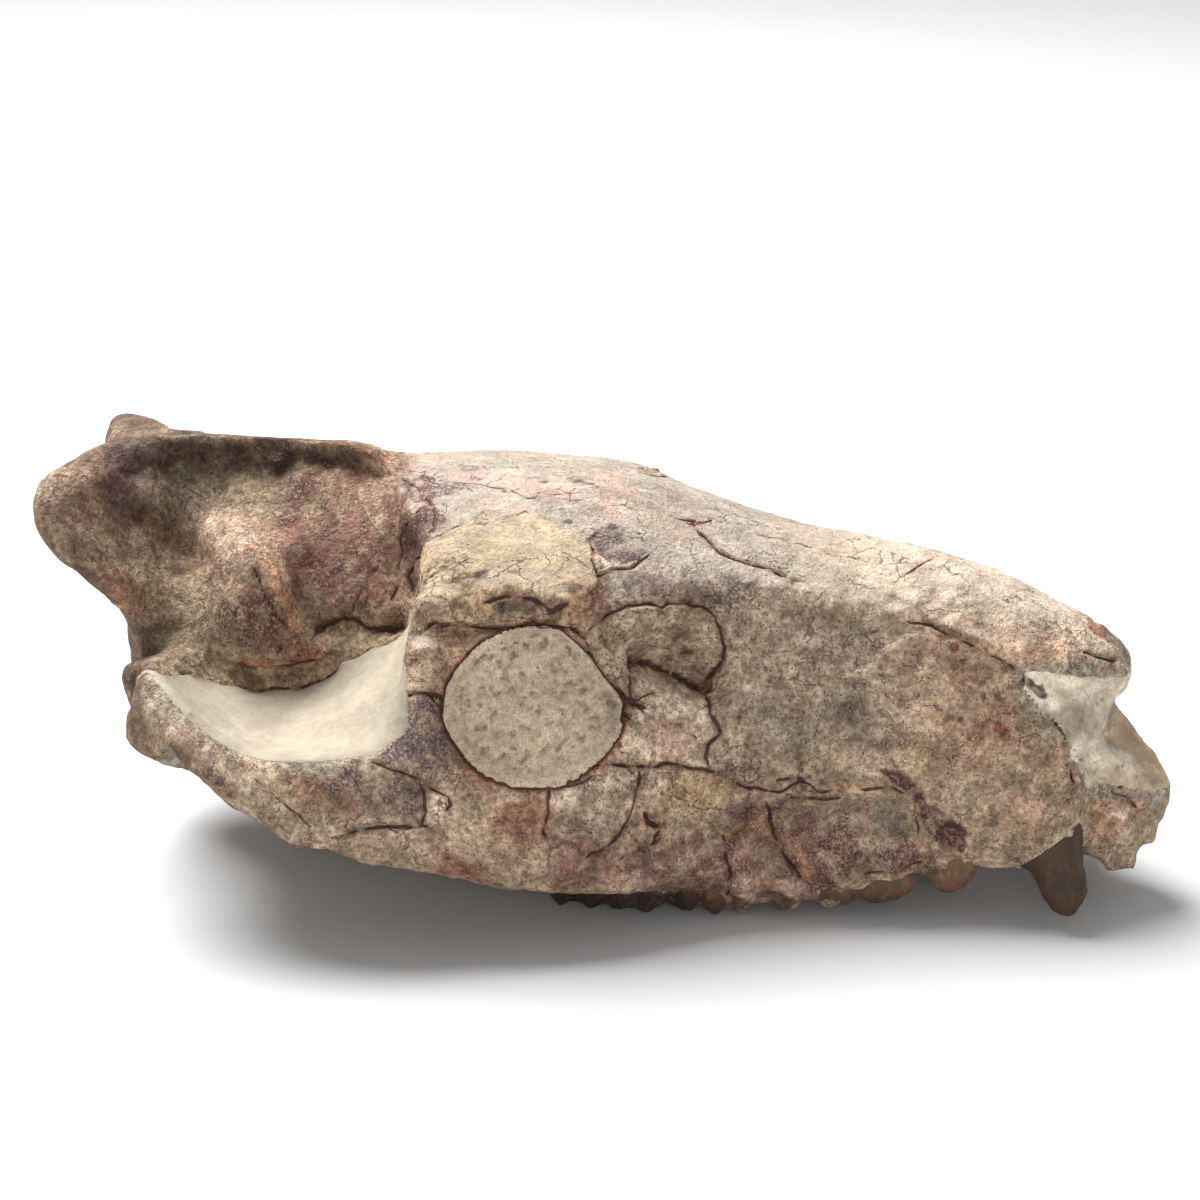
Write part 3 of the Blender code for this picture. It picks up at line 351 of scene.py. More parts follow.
# Colour, strength, softness, raggedness, lift, outline
PATCHES = {
    "preorbital plate": ("olive", 0.65, 1, 0.8, 0.35, (
        (2, -39, 57.5), (3.5, -37.5, 60), (6, -34.5, 61.5), (9.5, -31, 62), (13.5, -28.5, 61.5),
        (17.5, -25.5, 61.5), (21, -24, 60), (23, -23, 58), (24, -23, 53.5), (23.5, -24.5, 49),
        (21, -26, 46.5), (16.5, -27.5, 48.5), (12.5, -30.5, 51.5), (10, -34, 51.5), (9, -36, 47.5),
        (5.5, -36, 49), (3, -35.5, 52.5),
    )),
    "hollow bone": ("cream", 0.85, 1, 0.8, 0, (
        (9.5, -35, 50.5), (12.5, -30.5, 51), (16.5, -27.5, 48), (22.5, -26.5, 45), (22.5, -28, 42.5),
        (24.5, -29, 39), (23, -30.5, 35), (23.5, -31, 32), (17.5, -33, 33), (12, -36.5, 34),
        (9, -37.5, 38.5), (11, -35, 44),
    )),
    "mosaic": ("greypurple", 0.85, 0.6, 1.8, -0.15, (
        (-0.5, -22.5, 71.5), (1, -19.5, 72), (4, -17.5, 72), (7, -18, 71), (9.5, -20, 69),
        (9.5, -22.5, 68), (7.5, -24.5, 68), (5, -26.5, 68), (2, -25.5, 69.5),
    )),
    "mosaic flake": ("cream", 0.6, 0.5, 0.6, 0.2, (
        (1.5, -25.5, 69.5), (5, -26.5, 68), (7.5, -25, 67.5), (5, -27.5, 67.5), (2.5, -30, 67),
    )),
    "speckle band": ("greypurple", 0.55, 2, 2, 0, (
        (3, -30.5, 66.5), (9, -24.5, 67), (16.5, -23.5, 64), (23.5, -20, 63.5), (30.5, -17.5, 62.5),
        (33, -18, 61), (24, -22, 60.5), (13.5, -28, 62), (6, -33.5, 62.5), (3, -34, 64),
    )),
    "maxilla grey": ("olivegrey", 0.6, 4, 4, 0, (
        (25, -21.5, 60.5), (33, -17.5, 61.5), (42, -15.5, 60.5), (51, -15, 58), (56.5, -16, 54.5),
        (53, -17.5, 50), (52.5, -18.5, 45.5), (56.5, -19.5, 40), (55.5, -21.5, 34), (46.5, -24, 32),
        (38, -27, 30), (29, -29.5, 30), (24.5, -30, 35), (24, -27, 43.5), (25, -23.5, 50.5),
    )),
    "maxilla dark one": ("slate", 0.55, 3, 3, 0, (
        (43, -20.5, 42.5), (49, -19, 43), (52, -19.5, 38.5), (51, -21.5, 35), (45, -22.5, 35.5),
        (42.5, -22, 39),
    )),
    "maxilla dark two": ("slate", 0.45, 3, 3, 0, (
        (31.5, -25.5, 42.5), (35.5, -23.5, 43), (40, -22.5, 40.5), (40.5, -23.5, 37), (36, -26, 36),
        (31, -27, 37.5),
    )),
    "maxilla dark three": ("slate", 0.35, 3, 3, 0, (
        (42, -17.5, 56), (48, -16, 57.5), (52.5, -16, 54.5), (50, -18, 50), (44, -19, 49.5),
    )),
    "muzzle dark": ("brown", 0.5, 3, 3, 0, (
        (76, -18.5, 38.5), (82, -17, 37.5), (84.5, -18, 33), (82.5, -20, 31.5), (76.5, -20.5, 33),
    )),
    "muzzle pale": ("yellow", 0.5, 1, 2, 0, (
        (57.5, -21.5, 34), (60.5, -21, 35.5), (66, -20.5, 34.5), (64.5, -21.5, 30.5), (60, -22.5, 30),
        (58, -22.5, 31.5),
    )),
    "maroon triangle": ("maroon", 1, 0.6, 0.9, -0.3, (
        (54, -23.5, 30.5), (57.5, -22.5, 30.5), (62, -22.5, 26.5), (65.5, -22.5, 22.5),
        (69.5, -22, 19.5), (69, -21.5, 14.5), (66.5, -22, 14.5), (63, -23, 18), (60.5, -23, 21.5),
        (60, -23, 26), (56, -23.5, 28),
    )),
    "grey speckle": ("slate", 0.7, 1.5, 1.5, 0, (
        (45.5, -26, 22.5), (50.5, -25, 26), (58, -23.5, 26.5), (60, -23, 22.5), (60.5, -23, 18),
        (55, -24.5, 17.5), (49, -25.5, 18.5),
    )),
    "purple under": ("maroon", 0.6, 2, 2.5, -0.1, (
        (26.5, -31, 26.5), (34.5, -28.5, 26), (41, -27, 23.5), (47, -26, 20.5), (52, -25, 16),
        (61, -23, 16), (67, -21.5, 13.5), (52, -24.5, 10), (41.5, -25.5, 7), (35.5, -27.5, 9),
        (28, -31, 15), (26, -32, 21),
    )),
    "purple low": ("maroon", 0.6, 2, 2.5, -0.1, (
        (12, -41.5, 20), (17, -37.5, 21), (24.5, -32.5, 21.5), (26.5, -31.5, 15.5), (26, -28, 5),
        (18.5, -30, 5), (13, -40.5, 12.5), (10.5, -43.5, 16),
    )),
    "tan low plate": ("beige", 0.75, 1, 0.8, 0.25, (
        (-3, -44.5, 32), (1, -41.5, 33.5), (6, -40, 34), (11, -37, 33.5), (11.5, -38, 30),
        (10.5, -40.5, 25.5), (8.5, -43, 22.5), (3.5, -46.5, 21.5), (-2.5, -48.5, 23.5),
        (-3.5, -47, 28.5),
    )),
    "pale low plate": ("cream", 0.5, 0.6, 0.8, 0.3, (
        (11.5, -37, 33), (16, -34, 32.5), (19.5, -32.5, 32), (17.5, -34, 30), (15, -36, 28),
        (12, -37.5, 29),
    )),
    "yellow bits": ("yellow", 0.55, 0.8, 1.5, 0.1, (
        (13.5, -37, 28), (19, -33, 31.5), (22.5, -31.5, 31.5), (27, -30, 29.5), (26.5, -31, 26.5),
        (22, -33, 24.5), (18.5, -35, 24.5), (16, -36.5, 25.5),
    )),
    "chipped flake": ("brown", 0.8, 0.5, 0.6, -0.3, (
        (1, 11, 74.5), (4.5, 8.5, 74), (8, 19, 70), (7, 19, 70.5), (4, 19, 71.5),
    )),
    "nasal orange": ("orange", 0.4, 4, 4, 0, (
        (63, -12, 58.5), (68.5, -11, 57.5), (76, -9.5, 56), (81, -10.5, 53), (85.5, -9, 52),
        (87, -10.5, 49.5), (81.5, -13.5, 49), (72, -14, 52.5), (64.5, -14, 56),
    )),
    "nasal tip red": ("red", 0.7, 1, 1, 0, (
        (89, 4, 52.5), (93, 3.5, 50), (95, 3, 49), (93, -2, 50.5), (89.5, -2, 53),
    )),
    "nasal grey": ("slate", 0.3, 2, 2, 0, (
        (89, -8, 51), (93, -3.5, 50), (95, -4, 48), (94, -7.5, 46), (90, -9.5, 48),
    )),
    "brow": ("yellow", 0.55, 3, 3, 0.3, (
        (-29.5, -27, 69.5), (-25.5, -23.5, 72), (-19.5, -21, 73), (-11.5, -21, 72.5),
        (-4, -23.5, 71.5), (2, -26.5, 69), (3.5, -33, 64.5), (-0.5, -37, 62.5), (-7.5, -39.5, 61.5),
        (-18.5, -40, 59.5), (-27, -42, 60), (-34.5, -18.5, 57),
    )),
    "brow rust": ("rust", 0.5, 2, 2.5, 0, (
        (-1, -33.5, 65.5), (4, -31, 65.5), (6, -35, 60.5), (3.5, -38, 58.5), (0, -38, 61.5),
    )),
    "bar rust": ("rust", 0.5, 2, 2, 0, (
        (-27, -42.5, 59.5), (-20, -40.5, 59.5), (-21.5, -42, 55), (-22, -43.5, 50.5),
        (-21.5, -44.5, 46), (-24.5, -46, 48.5), (-24.5, -44.5, 54),
    )),
    "bar olive": ("olivetan", 0.6, 1, 1.5, 0, (
        (-27, -42.5, 58.5), (-24.5, -44, 54.5), (-24.5, -45.5, 49.5), (-26, -47, 48), (-29, -46.5, 48),
        (-28.5, -45, 51.5),
    )),
    "bar base": ("greypurple", 0.8, 2, 2.5, 0, (
        (-30.5, -47, 45.5), (-26, -47, 48), (-21.5, -44.5, 45), (-21, -44.5, 39.5), (-21.5, -48, 36.5),
        (-26.5, -52.5, 37.5), (-34, -52, 38.5),
    )),
    "arch patch": ("greypurple", 0.7, 2.5, 3, 0, (
        (-46.5, -58, 33), (-41.5, -55.5, 36.5), (-35, -53, 38), (-29.5, -53, 36.5), (-25, -52.5, 33.5),
        (-24.5, -53.5, 30), (-28.5, -56, 28), (-34.5, -57, 29.5), (-39.5, -57.5, 32),
    )),
    "fragment": ("cream", 0.8, 0.6, 0.5, 0.35, (
        (-24, -52.5, 32.5), (-20.5, -51.5, 31.5), (-20, -52, 29.5), (-21, -53.5, 27.5),
        (-22.5, -54.5, 26.5), (-24, -55, 27), (-23.5, -53.5, 29), (-24, -53, 31),
    )),
    "arch ledge plate": ("tan", 0.5, 1, 1, 0.3, (
        (-48, -57, 22.5), (-42.5, -58.5, 24), (-33.5, -58, 26.5), (-24.5, -55.5, 26),
        (-27.5, -56.5, 23.5), (-33, -54, 18.5), (-40, -56.5, 20.5),
    )),
    "wall red": ("purple", 0.75, 5, 5, 0, (
        (-63.5, -10.5, 66.5), (-58, -4, 75), (-51.5, -3.5, 77), (-44.5, -4.5, 77), (-37, -11.5, 74.5),
        (-30.5, -21.5, 72.5), (-32, -21, 67), (-37, -16, 61), (-40, -18, 54.5), (-48, -19.5, 52),
        (-55.5, -21, 53), (-60, -19.5, 60.5),
    )),
    "wall front purple": ("maroon", 0.7, 2.5, 2.5, 0, (
        (-40, -7.5, 75.5), (-32, -15.5, 74.5), (-27.5, -23, 72.5), (-29.5, -26.5, 69.5),
        (-35.5, -16.5, 64.5), (-37, -15, 67.5), (-33, -17.5, 73.5),
    )),
    "bump": ("purple", 0.75, 4, 4, 0, (
        (-72.5, -19.5, 56.5), (-65.5, -20, 60.5), (-60.5, -21.5, 58), (-57, -22, 51), (-61.5, -24, 47),
        (-68, -24.5, 48.5), (-71.5, -23, 51.5),
    )),
    "wall tan": ("tan", 0.55, 3, 3, 0, (
        (-48, -5.5, 75), (-43.5, -7, 75), (-42, -9.5, 72), (-46, -9, 70), (-49, -7, 72.5),
    )),
    "wall streak": ("palegrey", 0.5, 2, 3, 0, (
        (-70, -8, 68), (-64.5, -5.5, 71), (-60.5, -5, 72.5), (-61.5, -7.5, 69), (-66, -10.5, 66.5),
    )),
    # Dark brown under the crest's edge: partly the bone's own colour, partly painted shade in the
    # hollow
    "crest hollow dark with painted shade": ("darkbrown", 0.95, 2, 2, 0, (
        (-92.5, 0.5, 79.5), (-84, 3, 79), (-73, 0.5, 79.5), (-61.5, 1.5, 79), (-53, 1.5, 79),
        (-45.5, -0.5, 78.5), (-48, -4, 77), (-55, -4, 75.5), (-65, -4.5, 73.5), (-73.5, -5, 71.5),
        (-79.5, -5, 67.5), (-84, -7.5, 70.5), (-87.5, -10.5, 75.5),
    )),
    "nuchal dark": ("darkpurple", 0.9, 2.5, 2.5, 0, (
        (-99, -7, 78), (-95.5, 2, 78.5), (-89.5, -2.5, 79.5), (-86, -8.5, 75.5), (-87, -12, 70.5),
        (-90.5, -17.5, 69.5), (-94, -18, 75),
    )),
    "nuchal pale": ("palegrey", 0.6, 3, 3, 0, (
        (-87, -11, 73.5), (-82.5, -5, 73.5), (-75, -4.5, 70), (-71, -8, 68), (-74, -8, 65),
        (-82, -7.5, 65.5), (-86, -11, 68.5),
    )),
    "knob": ("pinktan", 0.7, 3, 2.5, 0, (
        (-80, -8.5, 63), (-74.5, -7.5, 65.5), (-68, -11.5, 65.5), (-63, -17, 63), (-60.5, -20, 60),
        (-64, -20.5, 60), (-68, -18, 61), (-73, -17, 59), (-78, -12.5, 60.5),
    )),
    "olive zone": ("olive", 0.7, 3, 3, 0, (
        (-68, -25, 44), (-60.5, -24, 41), (-52.5, -22, 41), (-45, -21, 45.5), (-43, -20.5, 48.5),
        (-48, -20.5, 47.5), (-55.5, -22.5, 43.5), (-63.5, -24.5, 42.5),
    )),
    "left wall": ("greengrey", 0.6, 6, 6, 0, (
        (-91, -24, 63.5), (-87.5, -17, 63), (-79, -14, 59), (-72.5, -20.5, 55), (-69.5, -24.5, 48),
        (-66.5, -25, 42), (-72, -29, 41), (-76, -46, 48), (-89.5, -18, 44.5), (-89.5, -26, 56),
    )),
    "left wall red": ("rust", 0.5, 3, 4, 0, (
        (-89.5, -26, 60), (-85.5, -22.5, 57.5), (-84.5, -23.5, 53.5), (-86.5, -24, 51),
        (-89.5, -25, 53.5),
    )),
    "nuchal rim": ("greengrey", 0.7, 3, 4, 0, (
        (-105.5, -23, 71.5), (-104, -18.5, 75), (-102, -12.5, 77), (-99, -7, 78), (-97.5, -9.5, 78.5),
        (-100.5, -16.5, 77), (-101.5, -23, 74), (-102, -27, 69.5), (-101, -28, 66),
        (-103.5, -26.5, 66.5),
    )),
    "nuchal centre": ("pinktan", 0.3, 4, 4, 0, (
        (-103, -23.5, 73.5), (-100.5, -17.5, 76.5), (-96.5, -15, 78), (-93.5, -19, 73.5),
        (-93.5, -23, 68), (-97, -27, 67.5), (-101, -27, 69.5),
    )),
    "nuchal low": ("olivetan", 0.35, 3, 3, 0, (
        (-102, -27.5, 69), (-97, -27, 67.5), (-92.5, -24, 66), (-93, -27, 63.5), (-97.5, -28, 64.5),
        (-101, -28, 66),
    )),
    "orbit red": ("rust", 0.6, 1.5, 2, 0, (
        (-18.5, -45.5, 35), (-13.5, -46, 33), (-14, -47.5, 32), (-18, -47.5, 34.5),
    )),
    "purple temporal line": ("greypurple", 0.55, 2, 3, 0, (
        (-29, -18.5, 74), (-26, -14, 75), (-24.5, -3.5, 77), (-28, 0.5, 77), (-30, -4.5, 77),
        (-31, -13, 75.5),
    )),
    "rear knobs": ("umber", 0.85, 1.5, 2, 0, (
        (-91.5, -15, 41.5), (-86, -22.5, 43), (-76.5, -47, 48), (-76.5, -50.5, 35), (-80.5, -48, 35),
        (-86.5, -31.5, 37.5),
    )),
    "rear knobs low": ("umber", 0.85, 1.5, 2, 0, (
        (-76, -50.5, 35), (-72, -49.5, 34), (-66.5, -55.5, 33.5), (-62, -57, 31), (-64.5, -55.5, 32.5),
        (-75.5, -44, 30),
    )),
    "premaxilla process": ("tan", 0.8, 0.6, 0.8, 0, (
        (94.5, -3.5, 39), (96.5, 3.5, 33.5), (100, 4, 29), (103.5, 2.5, 25.5), (102.5, -2, 26.5),
        (98, -5, 30.5), (95, -7.5, 33.5), (93.5, -7.5, 35.5),
    )),
    "socket rust": ("orange", 0.5, 1, 1.5, 0, (
        (91, -14.5, 23), (94, -12, 22.5), (95, -12, 17), (94.5, -11, 13), (92, -12, 14),
        (91, -14.5, 19),
    )),
    "muzzle edge red": ("rust", 0.6, 0.6, 0.8, 0, (
        (85, -15.5, 39), (86.5, -15.5, 37), (88.5, -16, 32.5), (90, -16, 27.5), (89, -17, 27),
        (86.5, -17, 32.5), (85, -16.5, 36),
    )),
    "knob pale": ("cream", 0.6, 1.5, 2.5, 0, (
        (-78.5, -7.5, 64), (-73.5, -8, 65.5), (-67.5, -11.5, 65.5), (-62, -17.5, 62.5),
        (-64, -19.5, 61), (-70, -15.5, 62), (-76.5, -12, 61),
    )),
    "arch rear pale": ("cream", 0.6, 1.5, 2, 0, (
        (-76.5, -49.5, 45.5), (-72.5, -51, 46), (-67, -53.5, 43), (-59.5, -56.5, 38),
        (-53.5, -57.5, 35.5), (-56.5, -58.5, 34), (-63, -57.5, 37.5), (-70, -55, 41.5),
        (-76, -50, 41.5),
    )),
    "arch face pale": ("beige", 0.65, 2, 2.5, 0, (
        (-63, -57.5, 36.5), (-50.5, -58, 34.5), (-45.5, -59, 30.5), (-34, -58, 27.5),
        (-24.5, -55.5, 26), (-33.5, -58, 26), (-42.5, -58.5, 24), (-50, -57, 23), (-57, -57, 27.5),
    )),
}

# Colour, strength, raggedness, places with a radius
BLOTS = {
    "red spots": ("redspot", 0.9, 0.6, (
        (7.5, -38, 38.5, 0.77), (8.5, -37.5, 39.5, 0.55), (19, -25, 51.5, 0.715),
        (65.5, -15.5, 52.5, 0.99), (67.5, -19, 40, 0.77), (74.5, -18.5, 38.5, 0.99),
        (75.5, -19, 37.5, 0.825), (71.5, -17, 44, 0.495), (58, -22, 32.5, 0.275),
        (41, -26, 29.5, 0.44),
    )),
    "cheek brown": ("rust", 0.6, 2.5, (
        (-19, -54, 18, 3.5), (-15.5, -53, 17, 4), (-7.5, -49.5, 26, 5), (-6, -48, 28, 4),
        (-10.5, -50, 27, 2.5),
    )),
    "cheek purple": ("purple", 0.5, 3, (
        (1.5, -48, 19, 5), (5, -46.5, 19, 5), (-0.5, -49, 16.5, 3), (8.5, -44.5, 16, 4),
    )),
    "arch rust": ("rust", 0.45, 3, (
        (-44, -58, 32.5, 4), (-38, -57.5, 30.5, 3), (-65.5, -57, 38, 4), (-59.5, -58.5, 32.5, 4),
        (-50.5, -57, 23.5, 2.5),
    )),
    "arch grey": ("greypurple", 0.4, 3, (
        (-68, -54, 43, 3), (-63.5, -56, 40, 3), (-57, -57, 36.5, 3),
    )),
    "roof pink": ("pink", 0.45, 4, (
        (-26, -7.5, 76.5, 4), (-17.5, -8, 76, 5), (-9, -9.5, 75.5, 5), (-20, -14.5, 75, 4),
        (1, -13, 74, 4), (1, -3.5, 75.5, 4), (-2.5, 0, 76, 4),
    )),
    "roof pits": ("darkbrown", 0.8, 0.5, (
        (-13, 1, 76.5, 0.5), (-12, -6.5, 76, 0.8), (-5, -19, 73, 0.9), (-2, -6, 76, 0.7),
        (-4, -5, 76, 0.5), (-7, -15.5, 74.5, 0.5), (-18.5, -11.5, 75.5, 0.5), (3.5, -26, 68.5, 0.6),
        (-6, -4.5, 76, 1), (-3, -5, 76, 0.8), (-3, -6.5, 76, 0.5),
    )),
    "mid roof grey": ("slate", 0.25, 4, (
        (14, 0, 72, 6), (25, 4, 69, 5), (36, 5, 67, 6),
    )),
    "muzzle mottle": ("rust", 0.35, 3, (
        (73, -18.5, 39, 5), (64, -19, 40.5, 3), (70.5, -20, 34.5, 4), (80, -21.5, 23.5, 4),
        (76.5, -16, 43.5, 4), (68, -16, 47.5, 4),
    )),
    "low pink": ("pink", 0.5, 3, (
        (31, -28, 7, 5), (38.5, -26, 7, 5), (29.5, -29.5, 12, 4), (47.5, -26, 16, 4), (51, -25, 22, 2),
        (13, -41, 14, 3), (24.5, -31, 10.5, 3),
    )),
    "premax pink": ("pink", 0.4, 3, (
        (98.5, -9.5, 22.5, 4), (96.5, -11, 19.5, 4), (102, -5, 26, 3),
    )),
    "nose hollow": ("slate", 0.8, 1.5, (
        (88, -12, 46, 3.5), (89.5, -11, 46.5, 3),
    )),
    "hollow pink": ("pink", 0.6, 2, (
        (15, -33, 39, 3), (16.5, -33, 35.5, 3), (14, -34.5, 37, 2), (18, -32, 37, 2),
    )),
    "hollow yellow": ("yellow", 0.6, 1, (
        (16.5, -33.5, 34.5, 1.5), (14, -34.5, 35.5, 1.2), (13.5, -35.5, 34.5, 1.2),
    )),
    "brow specks": ("darkbrown", 0.7, 1.5, (
        (-12, -37, 63.5, 1.8), (-8, -37.5, 63.5, 1.5), (-14, -38, 63, 1.2), (-3.5, -38, 62.5, 1.5),
        (-17.5, -34, 66, 0.8), (-27.5, -32.5, 66.5, 1), (-12, -34, 66.5, 0.8), (-0.5, -34.5, 65, 2),
        (-34.5, -17.5, 59, 1.5),
    )),
}

# Radius, amount, places
STROKES = {
    "under the crest": (7, -3.6, (
        (-87, -8.5, 76.5), (-83, -5.5, 75), (-77.5, -4, 75), (-71.5, -4, 75.5), (-66.5, -3.5, 76),
    )),
    "under the crest front": (4, -1.8, (
        (-65, -3, 77), (-60, -3, 77), (-55, -3.5, 77), (-50, -4, 77), (-46, -5, 76.5),
    )),
    "crest edge": (3, 1.6, (
        (-85.5, -1.5, 79.5), (-80, 2.5, 79), (-73, 0.5, 79.5), (-65.5, 0.5, 79.5), (-57.5, 0.5, 79.5),
        (-50.5, -1, 79), (-45.5, -2.5, 78),
    )),
    "under the temporal line": (6, -1.5, (
        (-55, -3.5, 77), (-49, -4.5, 76.5), (-43.5, -6, 76),
    )),
    "behind the rim": (8, -3.2, (
        (-91.5, -12.5, 77.5), (-90, -15, 73), (-88.5, -15, 69),
    )),
    "rim": (7, 1.2, (
        (-103.5, -21, 74.5), (-100, -27, 69.5), (-96, -27.5, 65.5),
    )),
    "knob": (6, 2.2, (
        (-75.5, -9, 63.5), (-69, -13.5, 64), (-64.5, -18.5, 61.5),
    )),
    "knob ridge": (4, 1.8, (
        (-60.5, -20.5, 59.5), (-59, -21.5, 56.5), (-57, -22, 51.5), (-55, -22, 49),
    )),
    "bump": (9, 1.6, (
        (-66.5, -23, 54.5), (-63, -23.5, 51.5),
    )),
    "before the bump": (6, -2, (
        (-55, -17, 60), (-53.5, -19.5, 54.5), (-51, -20.5, 51.5),
    )),
    "behind the knob": (7, -2.8, (
        (-84.5, -10.5, 65), (-82, -11.5, 61.5), (-79.5, -13.5, 59.5),
    )),
    "flow": (4, 1, (
        (-66.5, -25, 44.5), (-61.5, -24.5, 43.5), (-55.5, -22.5, 44), (-51, -21.5, 44.5),
    )),
    "under the flow": (4, -1.2, (
        (-63.5, -25, 40), (-56.5, -22.5, 40.5), (-51, -21.5, 42.5),
    )),
    "dark ledge": (4, -2.2, (
        (-50, -20.5, 49), (-45.5, -20, 49.5), (-41, -20.5, 49.5), (-37, -21.5, 51.5),
    )),
    "brow": (11, 1.2, (
        (-21.5, -31, 68), (-12.5, -31.5, 68), (-4, -31, 67.5),
    )),
    "brow crease": (4, -1.9, (
        (-27, -42.5, 59.5), (-21.5, -41, 59), (-13.5, -41, 59.5), (-7, -40, 61), (0, -39, 60),
    )),
    "brow ledge": (4, 1, (
        (-15.5, -36, 64.5), (-8.5, -36, 64.5), (-1.5, -35.5, 64),
    )),
    "preorbital hollow": (8, -3.4, (
        (8, -35, 56), (11.5, -31.5, 53.5), (16, -27.5, 50.5), (20, -25.5, 48.5),
    )),
    "preorbital deep": (4, -2.2, (
        (12, -31.5, 52.5), (15.5, -28, 49.5), (20, -26, 47),
    )),
    "shelf below": (4, 1.5, (
        (10.5, -34, 49), (15, -29.5, 46.5), (20.5, -28, 44),
    )),
    "pit before the orbit": (4, -1.6, (
        (6.5, -36, 46.5), (8, -36.5, 44.5),
    )),
    "maxilla swelling": (16, 0.9, (
        (40, -21, 47), (65.5, -19.5, 38),
    )),
    "maxilla dent": (8, -0.9, (
        (47.5, -21, 37), (33, -26, 39),
    )),
    "band": (6, -1.6, (
        (33, -29, 22), (41, -27, 21), (50, -25, 22), (57.5, -23.5, 22),
    )),
    "band low": (5, -0.9, (
        (19, -36.5, 20), (24, -33.5, 17.5),
    )),
    "root one": (4, 1.5, (
        (29.5, -29.5, 11), (30, -27.5, 6),
    )),
    "root two": (4, 1.5, (
        (37, -27.5, 10), (37.5, -25.5, 4.5),
    )),
    "root three": (4, 1.4, (
        (46, -26, 13.5), (47.5, -25, 9),
    )),
    "root four": (4, 1.4, (
        (55, -24, 15), (56.5, -23.5, 11),
    )),
    "root five": (5, 0.9, (
        (19, -36.5, 14.5), (19.5, -31, 7.5),
    )),
    "low plate": (8, 0.9, (
        (1.5, -44.5, 28.5), (7, -41, 29.5),
    )),
    "plate step": (4, -1, (
        (14.5, -38.5, 23), (13.5, -40.5, 20.5),
    )),
    "muzzle hollow": (9, -1.2, (
        (79.5, -19.5, 36), (77.5, -21, 30.5),
    )),
    "muzzle edge": (3.5, 0.8, (
        (85.5, -16.5, 36), (87.5, -17.5, 30), (88.5, -17, 26),
    )),
    "under the ridge": (5, -0.8, (
        (69.5, -15.5, 50), (75, -15.5, 46),
    )),
    "nasal edge": (4, 0.8, (
        (64.5, -14.5, 55), (70.5, -14.5, 52.5), (75.5, -14.5, 50),
    )),
    "arch ledge": (4, 0.9, (
        (-46, -59, 24), (-38.5, -59, 26), (-30.5, -57, 27),
    )),
    "below the ledge": (4, -0.9, (
        (-43.5, -56.5, 21), (-35, -58, 23.5), (-28.5, -57, 24.5),
    )),
    "arch hollow": (9, -0.9, (
        (-38, -57, 33.5), (-31, -55, 32.5),
    )),
    "arch corner": (5, 0.7, (
        (-68, -56, 39.5), (-63, -57.5, 36.5),
    )),
    "premaxilla process": (2.5, 0.8, (
        (94.5, -1.5, 37), (98.5, 4.5, 30.5), (102.5, 2.5, 26.5),
    )),
    "below the process": (2.5, -1.1, (
        (94, -8, 34.5), (96.5, -6.5, 31.5), (100, -4.5, 28.5), (103, -2.5, 26),
    )),
    "tooth socket": (3, -1.2, (
        (93, -13, 20), (94, -12, 17), (93.5, -11.5, 13.5),
    )),
    "premaxilla ripple one": (3, 0.9, (
        (95.5, -11.5, 23), (98.5, -10, 19.5), (100, -9, 15.5),
    )),
    "premaxilla ripple two": (3, -0.8, (
        (93, -12.5, 25.5), (96.5, -10.5, 23), (100.5, -8.5, 18),
    )),
    "under the nasal tip": (4, -1.6, (
        (85, -13.5, 45), (89.5, -12, 43.5), (93.5, -7, 41),
    )),
}


# Meshes

def new_object(name, mesh):
    obj = bpy.data.objects.new(name, mesh)
    bpy.context.scene.collection.objects.link(obj)
    return obj


def applied(obj):
    """Replaces the object's mesh by what its modifiers make of it."""
    bpy.context.view_layer.update()
    graph = bpy.context.evaluated_depsgraph_get()
    mesh = bpy.data.meshes.new_from_object(obj.evaluated_get(graph))
    obj.modifiers.clear()
    obj.data = mesh
    return obj


def places(obj):
    """Vertex places in millimetres, as an array of rows."""
    co = np.empty(len(obj.data.vertices) * 3, np.float32)
    obj.data.vertices.foreach_get("co", co)
    return co.reshape(-1, 3).astype(np.float64) / MM


def set_places(obj, co):
    obj.data.vertices.foreach_set("co", (co * MM).astype(np.float32).ravel())
    obj.data.update()


def normals(obj):
    out = np.empty(len(obj.data.vertices) * 3, np.float32)
    obj.data.vertex_normals.foreach_get("vector", out)
    return out.reshape(-1, 3).astype(np.float64)


def edge_ends(obj):
    out = np.empty(len(obj.data.edges) * 2, np.int32)
    obj.data.edges.foreach_get("vertices", out)
    return out.reshape(-1, 2)


def relaxed(co, ends, rounds):
    """Places after each vertex has moved to the middle of its neighbours, so many times."""
    first, second = ends[:, 0], ends[:, 1]
    count = np.bincount(first, minlength=len(co)) + np.bincount(second, minlength=len(co))
    count = np.maximum(count, 1)
    for _ in range(rounds):
        moved = np.empty_like(co)
        for axis in range(3):
            column = co[:, axis]
            total = np.bincount(first, column[second], len(co))
            total += np.bincount(second, column[first], len(co))
            moved[:, axis] = total / count
        co = 0.5 * co + 0.5 * moved
    return co


def ramp(low, high, value):
    """0 below low, 1 above high, smooth between."""
    part = np.clip((value - low) / (high - low), 0, 1)
    return part * part * (3 - 2 * part)


# Seeded noise

CELLS = 32
TURN = np.array(((0.80, 0.36, -0.48), (-0.60, 0.48, -0.64), (0.0, 0.80, 0.60)))


